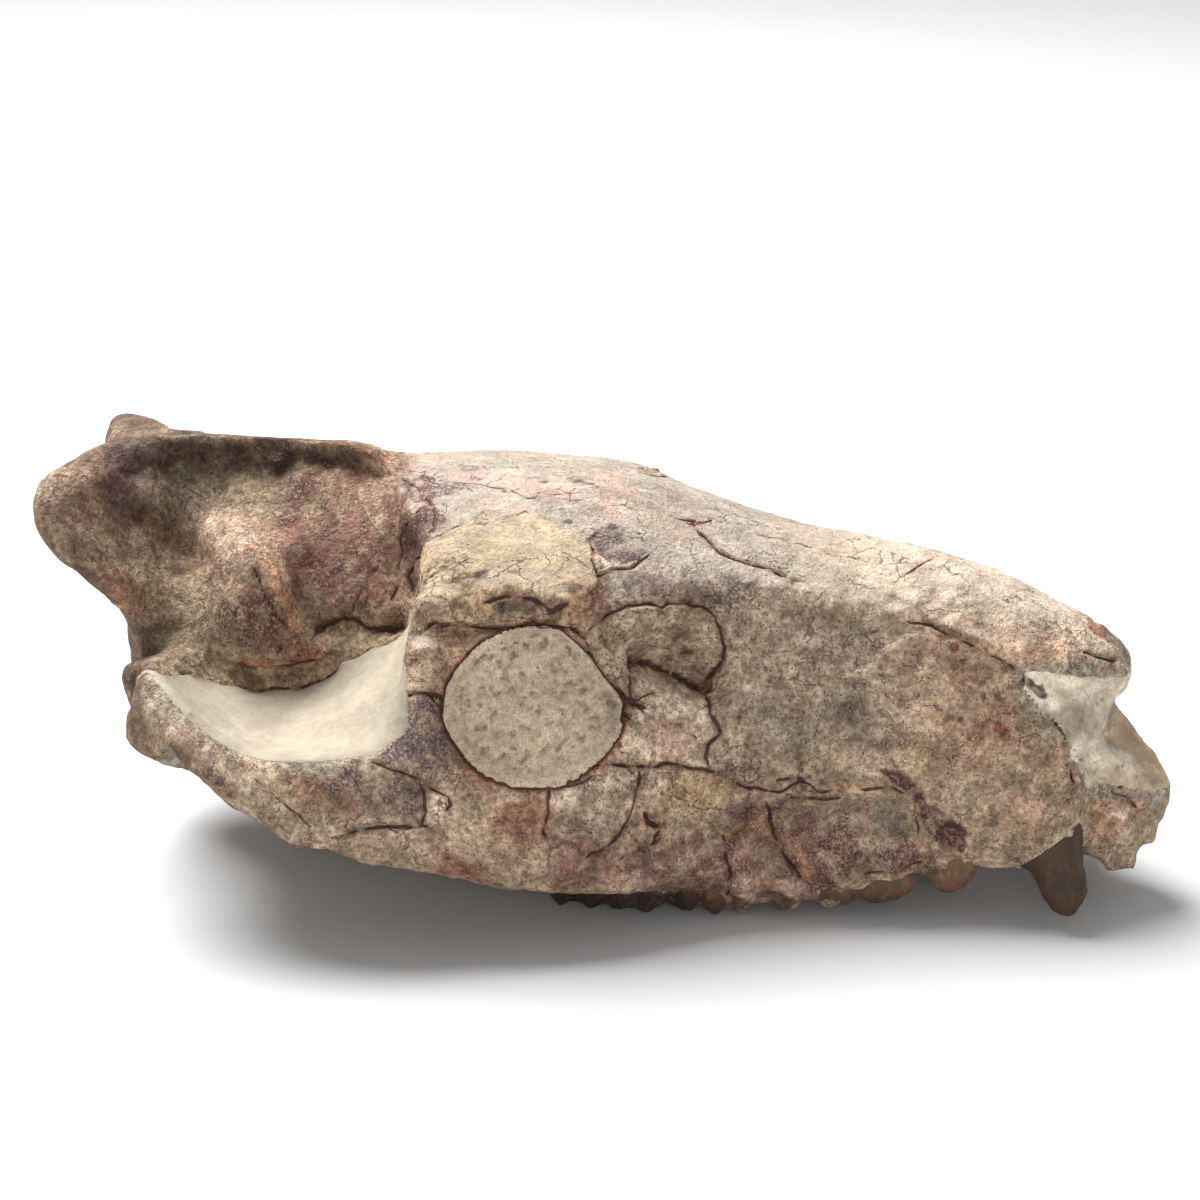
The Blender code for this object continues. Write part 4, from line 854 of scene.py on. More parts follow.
def noise(co, size, seed):
    """Smooth random values from -1 to 1, with lumps of the given size."""
    grid = np.random.default_rng(seed).uniform(-1, 1, (CELLS, CELLS, CELLS))
    spot = co @ TURN / size + seed * 7.31
    low = np.floor(spot).astype(np.int64)
    part = spot - low
    part = part * part * (3 - 2 * part)
    low &= CELLS - 1
    high = (low + 1) & (CELLS - 1)
    out = 0
    for ix, wx in ((low[:, 0], 1 - part[:, 0]), (high[:, 0], part[:, 0])):
        for iy, wy in ((low[:, 1], 1 - part[:, 1]), (high[:, 1], part[:, 1])):
            for iz, wz in ((low[:, 2], 1 - part[:, 2]), (high[:, 2], part[:, 2])):
                out = out + wx * wy * wz * grid[ix, iy, iz]
    return out


def layered(co, size, seed, layers):
    """Noise with finer noise on it."""
    out, share = 0, 0.0
    for layer in range(layers):
        weight = 0.55 ** layer
        out = out + weight * noise(co, size * 0.5 ** layer, seed + layer)
        share += weight
    return out / share * 1.6


# Marks drawn on the surface

TOWARDS = np.array((0.179, -0.922, 0.342))     # the side of the roof that was drawn


def drawn_places(co, normal):
    """Where each place falls on the drawn side. The far side repeats it, a little shifted."""
    far = (co[:, 1] > 0) & (normal @ TOWARDS < 0.08)
    out = co.copy()
    out[far, 1] *= -1
    wander = np.column_stack([noise(co, 22, seed) for seed in (61, 62, 63)])
    out[far] += wander[far] * 2.5
    return out


def line_distance(co, points, reach):
    """Distance from every place to a line on the surface, and how far along it that is."""
    best = np.full(len(co), 1e3)
    where = np.zeros(len(co))
    points = np.array(points, float)
    for i, (a, b) in enumerate(zip(points[:-1], points[1:])):
        low, high = np.minimum(a, b) - reach, np.maximum(a, b) + reach
        near = np.flatnonzero(np.all((co > low) & (co < high), axis=1))
        if not len(near):
            continue
        run = b - a
        if run @ run > 15 ** 2:
            continue
        part = np.clip((co[near] - a) @ run / (run @ run), 0, 1)
        gap = np.linalg.norm(co[near] - a - part[:, None] * run, axis=1)
        closer = gap < best[near]
        best[near[closer]] = gap[closer]
        where[near[closer]] = (i + part[closer]) / (len(points) - 1)
    return best, where


def outline_depth(co, points, thick):
    """How deep inside a closed outline each place lies, negative outside it."""
    points = np.array(points, float)
    middle = points.mean(0)
    follow = np.roll(points, -1, 0)
    plane = np.cross(points - middle, follow - middle).sum(0)
    plane /= np.linalg.norm(plane)
    side = np.cross(plane, (0, 0, 1.0))
    side /= np.linalg.norm(side)
    up = np.cross(side, plane)
    reach = np.linalg.norm(points - middle, axis=1).max() + 8
    near = np.flatnonzero(np.linalg.norm(co - middle, axis=1) < reach)
    depth = np.full(len(co), -1e3)
    if not len(near):
        return depth
    off = co[near] - middle
    flat = np.column_stack((off @ side, off @ up))
    corner = np.column_stack(((points - middle) @ side, (points - middle) @ up))
    inside = np.zeros(len(near), bool)
    gap = np.full(len(near), 1e3)
    for a, b in zip(corner, np.roll(corner, -1, 0)):
        run = b - a
        part = np.clip((flat - a) @ run / (run @ run + 1e-9), 0, 1)
        gap = np.minimum(gap, np.linalg.norm(flat - a - part[:, None] * run, axis=1))
        crosses = (a[1] > flat[:, 1]) != (b[1] > flat[:, 1])
        rise = run[1] if abs(run[1]) > 1e-9 else 1e-9
        inside ^= crosses & (flat[:, 0] < (flat[:, 1] - a[1]) * run[0] / rise + a[0])
    bend = np.abs((points - middle) @ plane).max() + thick
    value = np.where(inside, gap, -gap)
    value[np.abs(off @ plane) > bend] = -1e3
    depth[near] = value
    return depth


# One continuous skin

BONE_NODES = (
    "braincase", "cheekbone_left", "cheekbone_right", "frontals", "maxilla_left",
    "maxilla_right", "nasals", "nuchal_crest", "premaxilla", "sagittal_crest", "skull_base",
    "sphenoid", "zygomatic_arch_left", "zygomatic_arch_right",
)
FILL_NODES = (
    "orbit_fill_right", "orbit_fill_left", "temporal_fill_right", "temporal_fill_left",
    "nose_matrix",
)


def merged_nodes(names, grow):
    """One mesh of the named nodes, each welded, all standing out by grow."""
    bm = bmesh.new()
    for name in names:
        start = len(bm.verts)
        bm.from_mesh(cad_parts[name].data)
        bm.verts.ensure_lookup_table()
        bmesh.ops.remove_doubles(bm, verts=bm.verts[start:], dist=1e-6)
    bm.normal_update()
    for vert in bm.verts:
        vert.co += vert.normal * grow * MM
    mesh = bpy.data.meshes.new("skin")
    bm.to_mesh(mesh)
    bm.free()
    return mesh


def keep_main_surface(obj):
    """Drops the inner shells that the remesh leaves where saw cuts were."""
    bm = bmesh.new()
    bm.from_mesh(obj.data)
    left, shells = set(bm.verts), []
    while left:
        stack, shell = [left.pop()], []
        while stack:
            vert = stack.pop()
            shell.append(vert)
            for edge in vert.link_edges:
                other = edge.other_vert(vert)
                if other in left:
                    left.remove(other)
                    stack.append(other)
        shells.append(shell)
    main = max(shells, key=len)
    dropped = [v for shell in shells if shell is not main for v in shell]
    bmesh.ops.delete(bm, geom=dropped, context="VERTS")
    bm.to_mesh(obj.data)
    bm.free()


def remeshed(obj, voxel, rounds):
    remesh = obj.modifiers.new("blend", "REMESH")
    remesh.mode = "VOXEL"
    remesh.voxel_size = voxel * MM
    if rounds:
        smooth = obj.modifiers.new("soften", "SMOOTH")
        smooth.factor = 0.5
        smooth.iterations = rounds
    return applied(obj)


def whole_skin(voxel, rounds):
    """Bones and fills as one smooth closed surface."""
    skin = new_object("skin", merged_nodes(BONE_NODES + FILL_NODES, 0.25))
    remeshed(skin, voxel, rounds)
    keep_main_surface(skin)
    return skin


def sculpt(obj):
    """Broad forms, pressed in and pulled out along lines."""
    co, out = places(obj), normals(obj)
    drawn = drawn_places(co, out)
    push = np.zeros(len(co))
    for size, amount, points in STROKES.values():
        gap, _ = line_distance(drawn, points, size)
        part = np.clip(1 - (gap / size) ** 2, 0, 1)
        push += amount * part ** 2
    set_places(obj, co + out * push[:, None])


def refined(obj):
    """The skin at half the spacing, and half again where cracks run."""
    mesh = obj.modifiers.new("fine", "SUBSURF")
    mesh.subdivision_type = "CATMULL_CLARK"
    mesh.levels = mesh.render_levels = 1
    applied(obj)
    co = places(obj)
    drawn = drawn_places(co, normals(obj))
    close = np.zeros(len(co), bool)
    for width, _, _, _, points in CRACKS.values():
        gap, _ = line_distance(drawn, points, width + 1.2)
        close |= gap < 0.5 * width + 0.8
    bm = bmesh.new()
    bm.from_mesh(obj.data)
    bm.verts.ensure_lookup_table()
    chosen = {f for i in np.flatnonzero(close) for f in bm.verts[i].link_faces}
    edges = {e for f in chosen for e in f.edges}
    bmesh.ops.subdivide_edges(bm, edges=list(edges), cuts=1, use_grid_fill=True)
    bm.to_mesh(obj.data)
    bm.free()


def tree_of(obj):
    faces = [tuple(p.vertices) for p in obj.data.polygons]
    return BVHTree.FromPolygons([tuple(row) for row in places(obj)], faces)


def depth_in(cutter, co, reach):
    """How deep inside a cutter each place lies, negative outside it, to a given reach."""
    shape = places(cutter)
    low, high = shape.min(0) - reach, shape.max(0) + reach
    depth = np.full(len(co), -float(reach))
    tree = tree_of(cutter)
    for i in np.flatnonzero(np.all((co > low) & (co < high), axis=1)):
        spot = Vector(co[i])
        found, out, _, gap = tree.find_nearest(spot, reach)
        if found is not None:
            depth[i] = gap if (spot - found).dot(out) < 0 else -gap
    return depth


# Fine relief

FLAT = "unsculpted_skin"
# How far off, in millimetres, the unsculpted skin and the fills' cutters are looked for
FLAT_REACH = 8
FILL_REACH = 9
# How far inside the CAD box every surface stays, in millimetres
INSET = 0.02


def laid_flat(co):
    """The place on the skin before sculpting that each place was pushed away from."""
    tree = tree_of(bpy.data.objects[FLAT])
    flat = co.copy()
    for i, spot in enumerate(co):
        found = tree.find_nearest(spot, FLAT_REACH)[0]
        if found is not None:
            flat[i] = found
    return flat


def shaken(co):
    """The same places with a small wander, so that no crack runs as if ruled."""
    wander = [noise(co, 2.6, seed) + 0.22 * noise(co, 1.0, seed + 5) for seed in (64, 65, 66)]
    return co + 0.42 * np.column_stack(wander)


def relief(obj, strength):
    """Grain, cracks, plates and pits, moved along the surface's own direction."""
    co, out = places(obj), normals(obj)
    drawn = drawn_places(laid_flat(co), out)
    fill = np.zeros(len(co))
    for name in FILL_NODES:
        fill = np.maximum(fill, ramp(-0.4, 0.4, depth_in(cutter_of(name), co, FILL_REACH)))
    bone = 1 - fill
    rough = 0.7 + 0.6 * ramp(-0.2, 0.6, layered(co, 30, 5, 2))
    rough += 1.1 * ramp(22, 6, co[:, 2]) + 0.9 * ramp(86, 96, co[:, 0])
    rough += 0.7 * ramp(-20, -40, co[:, 0]) * ramp(68, 50, co[:, 2])
    push = bone * rough * (0.26 * layered(co, 9, 11, 3) + 0.15 * layered(co, 2.6, 21, 2))
    push += 0.35 * ramp(84, 90, co[:, 0]) * layered(co, 6, 31, 3)
    push += fill * (0.10 * layered(co, 7, 33, 2) + 0.06 * noise(co, 1.4, 41))
    wander, traced = 0.3 * noise(co, 1.6, 51), shaken(drawn)
    for width, depth, _, _, points in CRACKS.values():
        gap, where = line_distance(traced, points, width + 1.5)
        ends = ramp(0, 0.08, where) * ramp(1, 0.92, where)
        edge = 0.5 * width * (0.5 + 0.5 * ends)
        groove = ramp(edge + 0.4, edge * 0.3, gap + wander) * (0.3 + 0.7 * ends)
        push -= 0.9 * depth * groove * (bone if width < 1 else 1)
    for _, _, _, ragged, lift, points in PATCHES.values():
        if lift:
            depth = outline_depth(drawn, points, 5) + 0.5 * ragged * noise(co, 2.5, 52)
            push += 1.3 * lift * ramp(-0.25, 0.35, depth) * bone
    moved = co + out * push[:, None] * strength
    low, high = (np.array(row) / MM for row in CAD_BOX)
    set_places(obj, np.clip(moved, low + INSET, high - INSET))


# Parting

# Which way each fill faces, how far its cutter reaches that way, and how ragged its edge is
FILL_FACES = {
    "orbit_fill_right": ((0, -1, 0), 5.0, 0.0),
    "orbit_fill_left": ((0, 1, 0), 5.0, 0.0),
    "temporal_fill_right": ((0, -0.3, 0.95), 4.0, 0.2),
    "temporal_fill_left": ((0, 0.3, 0.95), 4.0, 0.2),
    "nose_matrix": ((1, 0, 0), 4.0, 0.7),
}
# The flat upper front edge of an orbit's matrix: its way out in X and Z, and how far it lies
ORBIT_EDGE = ((0.81, 0.58), 32.6)
# How far from the middle the plaster ends against the braincase
WALL_FOOT = (
    (-77, 43), (-74.5, 33.5), (-71.5, 29.5), (-67.5, 27), (-63, 25.5), (-58.5, 24), (-55, 23),
    (-52, 22), (-41.5, 21.5), (-34.5, 23.5), (-30, 24),
)


def cutter_of(name):
    return bpy.data.objects["cut_" + name]


def fill_cutter(name):
    """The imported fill, a little larger and ragged, and reaching out where it faces."""
    cutter = new_object("cut_" + name, merged_nodes((name,), 0.15))
    remeshed(cutter, 0.7, 10 if name.startswith("orbit") else 3)
    co, out = places(cutter), normals(cutter)
    way, reach, uneven = FILL_FACES[name]
    facing = np.clip(out @ np.array(way, float), 0, 1)
    if name == "nose_matrix":
        facing = np.maximum(facing, np.abs(out[:, 1]))
    ragged = uneven * layered(co, 6, 71, 2)
    push = 0.25 + ragged * (1 - facing) + reach * facing
    moved = co + out * push[:, None]
    if name.startswith("orbit"):
        middle = 0.5 * (co.min(0) + co.max(0))
        moved = middle + (moved - middle) * (0.945, 1, 0.955) + (0.8, 0, 0.8)
        (way_x, way_z), reach = ORBIT_EDGE
        beyond = np.maximum(way_x * moved[:, 0] + way_z * moved[:, 2] - reach, 0)
        moved -= 0.96 * beyond[:, None] * np.array((way_x, 0, way_z))
    if name.startswith("temporal"):
        side = np.sign(co[:, 1])
        foot = np.interp(moved[:, 0], *zip(*WALL_FOOT)) + 0.6 * noise(co, 5, 73)
        off = np.abs(moved[:, 1]) - foot
        moved[:, 1] = side * (foot + np.where(off < 0, 0.03 * off, off))
    set_places(cutter, moved)
    cutter.hide_render = True
    return cutter


def canine_cutter(side):
    """Everything of a canine that shows below the jaw's slanting edge."""
    name = "cut_canine_" + ("right" if side < 0 else "left")
    cutter = new_object(name, canine_mesh(side))
    bm = bmesh.new()
    bm.from_mesh(cutter.data)
    flat = Vector(CANINE_EDGE[1])
    flat.y *= -side
    spot = Vector(CANINE_EDGE[0]) * MM
    spot.y *= -side
    found = bmesh.ops.bisect_plane(bm, geom=bm.verts[:] + bm.edges[:] + bm.faces[:],
                                   plane_co=spot, plane_no=flat, clear_outer=True)
    rim = [part for part in found["geom_cut"] if isinstance(part, bmesh.types.BMEdge)]
    bmesh.ops.contextual_create(bm, geom=rim)
    bmesh.ops.recalc_face_normals(bm, faces=bm.faces)
    bm.to_mesh(cutter.data)
    bm.free()
    cutter.hide_render = True
    return cutter


def cut(obj, cutter, operation):
    tool = obj.modifiers.new("part", "BOOLEAN")
    tool.operation = operation
    tool.solver = "MANIFOLD"
    tool.object = cutter
    return applied(obj)


def copy_of(obj, name):
    return new_object(name, obj.data.copy())


# Painting

def cavity(obj, rounds):
    """How far each place lies below its surroundings, in millimetres."""
    co = places(obj)
    around = relaxed(co, edge_ends(obj), rounds)
    return np.einsum("ij,ij->i", around - co, normals(obj))


def mixed(colour, other, share):
    """Row by row, the colour moved towards another one by a share."""
    return colour + (np.array(other) - colour) * np.clip(share, 0, 1)[:, None]


def zone(co, axis, start, full):
    """Share that rises from 0 to 1 along one axis."""
    return ramp(start, full, co[:, axis])


def painted_bone(obj):
    """Colour of every place on the bone, with painted shade and light in it, and the strength of its
    marks.
    """
    co, out = places(obj), normals(obj)
    drawn = drawn_places(laid_flat(co), out)
    big, mid, small = (layered(co, size, seed, 3) for size, seed in ((26, 101), (8, 111), (2.6, 121)))
    colour = np.tile(np.array(COLOURS["ground"]), (len(co), 1))
    colour = mixed(colour, COLOURS["tan"], 0.8 * ramp(-0.1, 0.5, big))
    colour = mixed(colour, COLOURS["olivetan"], 0.7 * ramp(0.0, 0.5, -mid))
    roof = ramp(0.45, 0.85, out[:, 2] + 0.1 * mid) * zone(co, 2, 44, 60) * zone(co, 0, -44, -34)
    colour = mixed(colour, COLOURS["roof"], roof)
    colour = mixed(colour, COLOURS["roofpink"], roof * 0.5 * ramp(0.0, 0.5, big + 0.5 * small))
    colour = mixed(colour, COLOURS["slate"], roof * 0.12 * ramp(0.1, 0.5, -big - 0.4 * mid))
    colour = mixed(colour, COLOURS["beige"], roof * 0.6 * zone(co, 0, 25, 50))
    # Painted shade: faces that turn downwards are darkened towards the under colour
    colour = mixed(colour, COLOURS["under"], 0.7 * ramp(-0.2, -0.8, out[:, 2]))
    # Towards the back, faces that don't turn up are darkened to green-grey and umber, and the nape
    # further to umber: partly the bone's own tone, partly painted shade
    back = zone(co, 0, -40, -60) * ramp(0.9, 0.4, out[:, 2])
    colour = mixed(colour, COLOURS["greengrey"], 0.6 * back * ramp(-0.3, 0.4, mid))
    colour = mixed(colour, COLOURS["umber"], 0.6 * back * ramp(0.1, 0.5, big + 0.5 * small))
    nape_tone_and_painted_shade = zone(co, 0, -74, -88)
    colour = mixed(colour, COLOURS["umber"], 0.95 * nape_tone_and_painted_shade * ramp(-0.9, 0.1, mid))
    speckle = 0.15 + 0.3 * ramp(0.0, 0.6, mid)
    speckle *= 1 - 0.6 * roof
    for tone, strength, soft, ragged, _, points in PATCHES.values():
        depth = outline_depth(drawn, points, 6)
        share = ramp(-soft, soft, depth + ragged * (0.7 * mid + 0.9 * small))
        share *= strength * np.clip(0.85 + MOTTLED.get(tone, 0.5) * small, 0, 1.1)
        colour = mixed(colour, COLOURS[tone], share)
        if tone in SPECKLED:
            speckle += SPECKLED[tone] * share
    tiny = 0.6 * noise(co, 1.1, 125)
    for tone, strength, ragged, spots in BLOTS.values():
        for x, y, z, size in spots:
            gap = np.linalg.norm(drawn - (x, y, z), axis=1)
            edge = 0.45 if ragged > 1.6 else 0.85
            share = ramp(1.15 * size, edge * size, gap + ragged * (0.4 * (mid + small) + tiny))
            colour = mixed(colour, COLOURS[tone], strength * share)
    # Painted shade: the bone is darkened in broad hollows, less so at the front, and towards dark
    # brown in small pits; small ridges are made paler
    hollow, pit = cavity(obj, 40), cavity(obj, 6)
    colour *= (1 - (0.52 - 0.3 * zone(co, 0, 0, 10)) * ramp(0.1, 1.3, hollow))[:, None]
    colour = mixed(colour, COLOURS["darkbrown"], 0.75 * ramp(0.03, 0.22, pit))
    colour = mixed(colour, COLOURS["cream"], 0.35 * ramp(0.03, 0.16, -pit))
    # The low lumps of the tooth row take the teeth's colour: near black at the back, partly as painted
    # shade, and patchy dark brown further forward
    low = ramp(7.0, 5.6, co[:, 2] + 0.8 * mid + 0.5 * small) * ramp(86, 80, co[:, 0])
    low *= zone(co, 0, -9, -6)
    colour = mixed(colour, COLOURS["crown"], 0.97 * low * ramp(24, 17, co[:, 0]))
    colour = mixed(colour, COLOURS["darkbrown"], 0.7 * low * ramp(0.1, -0.4, small + 0.5 * mid))
    colour *= (1 + (0.2 * small + 0.16 * mid) * (1 - 0.5 * roof))[:, None]
    # Painted light: on the sides of the face and the snout, but not on the upward-facing roof, the
    # bone is made lighter and bluer; then all the bone is made a little lighter
    face = zone(co, 0, -45, -25) * np.maximum(ramp(58, 51, co[:, 2]), zone(co, 0, 18, 28))
    face *= 1 - roof * ramp(60, 45, co[:, 0])
    colour *= (1 + face[:, None] * (0.18, 0.20, 0.25)) * (1.12, 1.13, 1.15)
    crack = np.zeros(len(co))
    for name in CANINES:
        gap = -depth_in(cutter_of(name), co, 3)
        colour = mixed(colour, COLOURS["cream"], 0.7 * ramp(1.3, 0.5, gap + 0.4 * small))
    for name in FILL_NODES:
        gap = -depth_in(cutter_of(name), co, 5)
        if name.startswith("orbit"):
            colour = mixed(colour, COLOURS["rust"], 0.3 * ramp(1.6, 0.3, gap + small))
            colour = mixed(colour, COLOURS["red"], 0.8 * ramp(0.9, 0.5, gap))
            crack = np.maximum(crack, 0.97 * (1 - 0.3 * gap / 0.3))
            continue
        foot = np.interp(co[:, 0], *zip(*WALL_FOOT))
        smear = ramp(2.6, 0.2, gap + 0.9 * mid + 0.5 * small)
        if name.startswith("temporal"):
            smear *= ramp(foot + 1, foot + 4, np.abs(co[:, 1])) * ramp(-30, -40, co[:, 0])
        colour = mixed(colour, COLOURS["smear"], 0.9 * smear)
    wander, traced = 0.3 * noise(co, 1.3, 53), shaken(drawn)
    faint = ramp(-0.1, 0.5, layered(co, 6, 55, 2))
    for width, depth, tone, strength, points in CRACKS.values():
        gap, where = line_distance(traced, points, 3.5)
        ends = ramp(0, 0.08, where) * ramp(1, 0.92, where)
        halo = ramp(width + 0.8, width * 0.4, gap + 1.6 * wander) * ends
        if depth > 0:
            warm = "rust" if tone in ("dark", "rust", "red") else tone
            colour = mixed(colour, COLOURS[warm], 0.42 * strength * halo)
            line = (1 - 0.3 * gap / (0.155 + 0.15 * width)) * (0.76 + 0.24 * strength)
            line *= 1 - 0.3 * (1.05 - strength) * faint
            crack = np.maximum(crack, line * (0.8 + 0.2 * ends))
        else:
            colour = mixed(colour, COLOURS[tone], strength * halo)
    pores = (0.35 + 0.4 * ramp(-0.3, 0.6, layered(co, 14, 131, 2))) * (1 - 0.75 * roof)
    return np.clip(colour, 0.01, 0.9), np.clip(speckle, 0, 1), pores, np.clip(crack, 0, 1)


def store(obj, name, rows):
    layer = obj.data.attributes.new(name, "FLOAT_COLOR", "POINT")
    full = np.column_stack((rows, np.ones(len(rows)))).astype(np.float32)
    layer.data.foreach_set("color", full.ravel())


# Materials

class Shade:
    """A material's node tree, with short ways to add nodes to it."""

    def __init__(self, name, roughness):
        self.material = bpy.data.materials.new(name)
        self.material.use_nodes = True
        self.tree = self.material.node_tree
        self.shader = self.tree.nodes["Principled BSDF"]
        self.shader.inputs["Roughness"].default_value = roughness
        self.shader.inputs["Specular IOR Level"].default_value = 0.25
        self.space = self.tree.nodes.new("ShaderNodeTexCoord").outputs["Object"]

    def node(self, kind, **values):
        made = self.tree.nodes.new(kind)
        for key, value in values.items():
            setattr(made, key, value)
        return made

    def link(self, source, target):
        self.tree.links.new(source, target)

    def grain(self, size, detail=3.0, rough=0.6, space=None, output="Fac"):
        made = self.node("ShaderNodeTexNoise")
        made.inputs["Scale"].default_value = 1 / (size * MM)
        made.inputs["Detail"].default_value = detail
        made.inputs["Roughness"].default_value = rough
        self.link(space or self.space, made.inputs["Vector"])
        return made.outputs[output]

    def cells(self, size, feature="F1", space=None):
        made = self.node("ShaderNodeTexVoronoi", feature=feature)
        made.inputs["Scale"].default_value = 1 / (size * MM)
        self.link(space or self.space, made.inputs["Vector"])
        return made.outputs["Distance"]

    def warped(self, size, amount, stretch=(1, 1, 1)):
        """The object's space, pushed about by noise of one size, and stretched."""
        middle = self.node("ShaderNodeVectorMath", operation="SUBTRACT")
        self.link(self.grain(size, 3, output="Color"), middle.inputs[0])
        middle.inputs[1].default_value = (0.5, 0.5, 0.5)
        scaled = self.node("ShaderNodeVectorMath", operation="SCALE")
        self.link(middle.outputs[0], scaled.inputs[0])
        scaled.inputs["Scale"].default_value = amount * MM
        moved = self.node("ShaderNodeVectorMath", operation="ADD")
        self.link(scaled.outputs[0], moved.inputs[0])
        self.link(self.space, moved.inputs[1])
        drawn = self.node("ShaderNodeVectorMath", operation="MULTIPLY")
        self.link(moved.outputs[0], drawn.inputs[0])
        drawn.inputs[1].default_value = stretch
        return drawn.outputs[0]

    def span(self, value, low, high, start=0.0, end=1.0):
        made = self.node("ShaderNodeMapRange", interpolation_type="SMOOTHSTEP")
        self.feed(made.inputs["Value"], value)
        for key, number in (("From Min", low), ("From Max", high),
                            ("To Min", start), ("To Max", end)):
            self.feed(made.inputs[key], number)
        return made.outputs["Result"]

    def feed(self, socket, value):
        if isinstance(value, (int, float)):
            socket.default_value = value
        else:
            self.link(value, socket)

    def sum(self, kind, first, second, third=None):
        made = self.node("ShaderNodeMath", operation=kind)
        self.feed(made.inputs[0], first)
        self.feed(made.inputs[1], second)
        if third is not None:
            self.feed(made.inputs[2], third)
        return made.outputs[0]

    def mix(self, share, first, second, blend="MIX"):
        made = self.node("ShaderNodeMix", data_type="RGBA", blend_type=blend)
        self.feed(made.inputs["Factor"], share)
        for socket, value in ((made.inputs[6], first), (made.inputs[7], second)):
            if isinstance(value, tuple):
                socket.default_value = (*value, 1)
            else:
                self.link(value, socket)
        return made.outputs[2]

    def attribute(self, name):
        made = self.node("ShaderNodeAttribute", attribute_name=name)
        return made.outputs["Color"]

    def channels(self, colour):
        made = self.node("ShaderNodeSeparateColor")
        self.link(colour, made.inputs[0])
        return made.outputs

    def bump(self, height, strength, depth):
        made = self.node("ShaderNodeBump")
        made.inputs["Strength"].default_value = strength
        made.inputs["Distance"].default_value = depth * MM
        self.link(height, made.inputs["Height"])
        self.link(made.outputs["Normal"], self.shader.inputs["Normal"])

    def colour(self, value):
        self.link(value, self.shader.inputs["Base Color"])

    def roughness(self, value):
        self.link(value, self.shader.inputs["Roughness"])


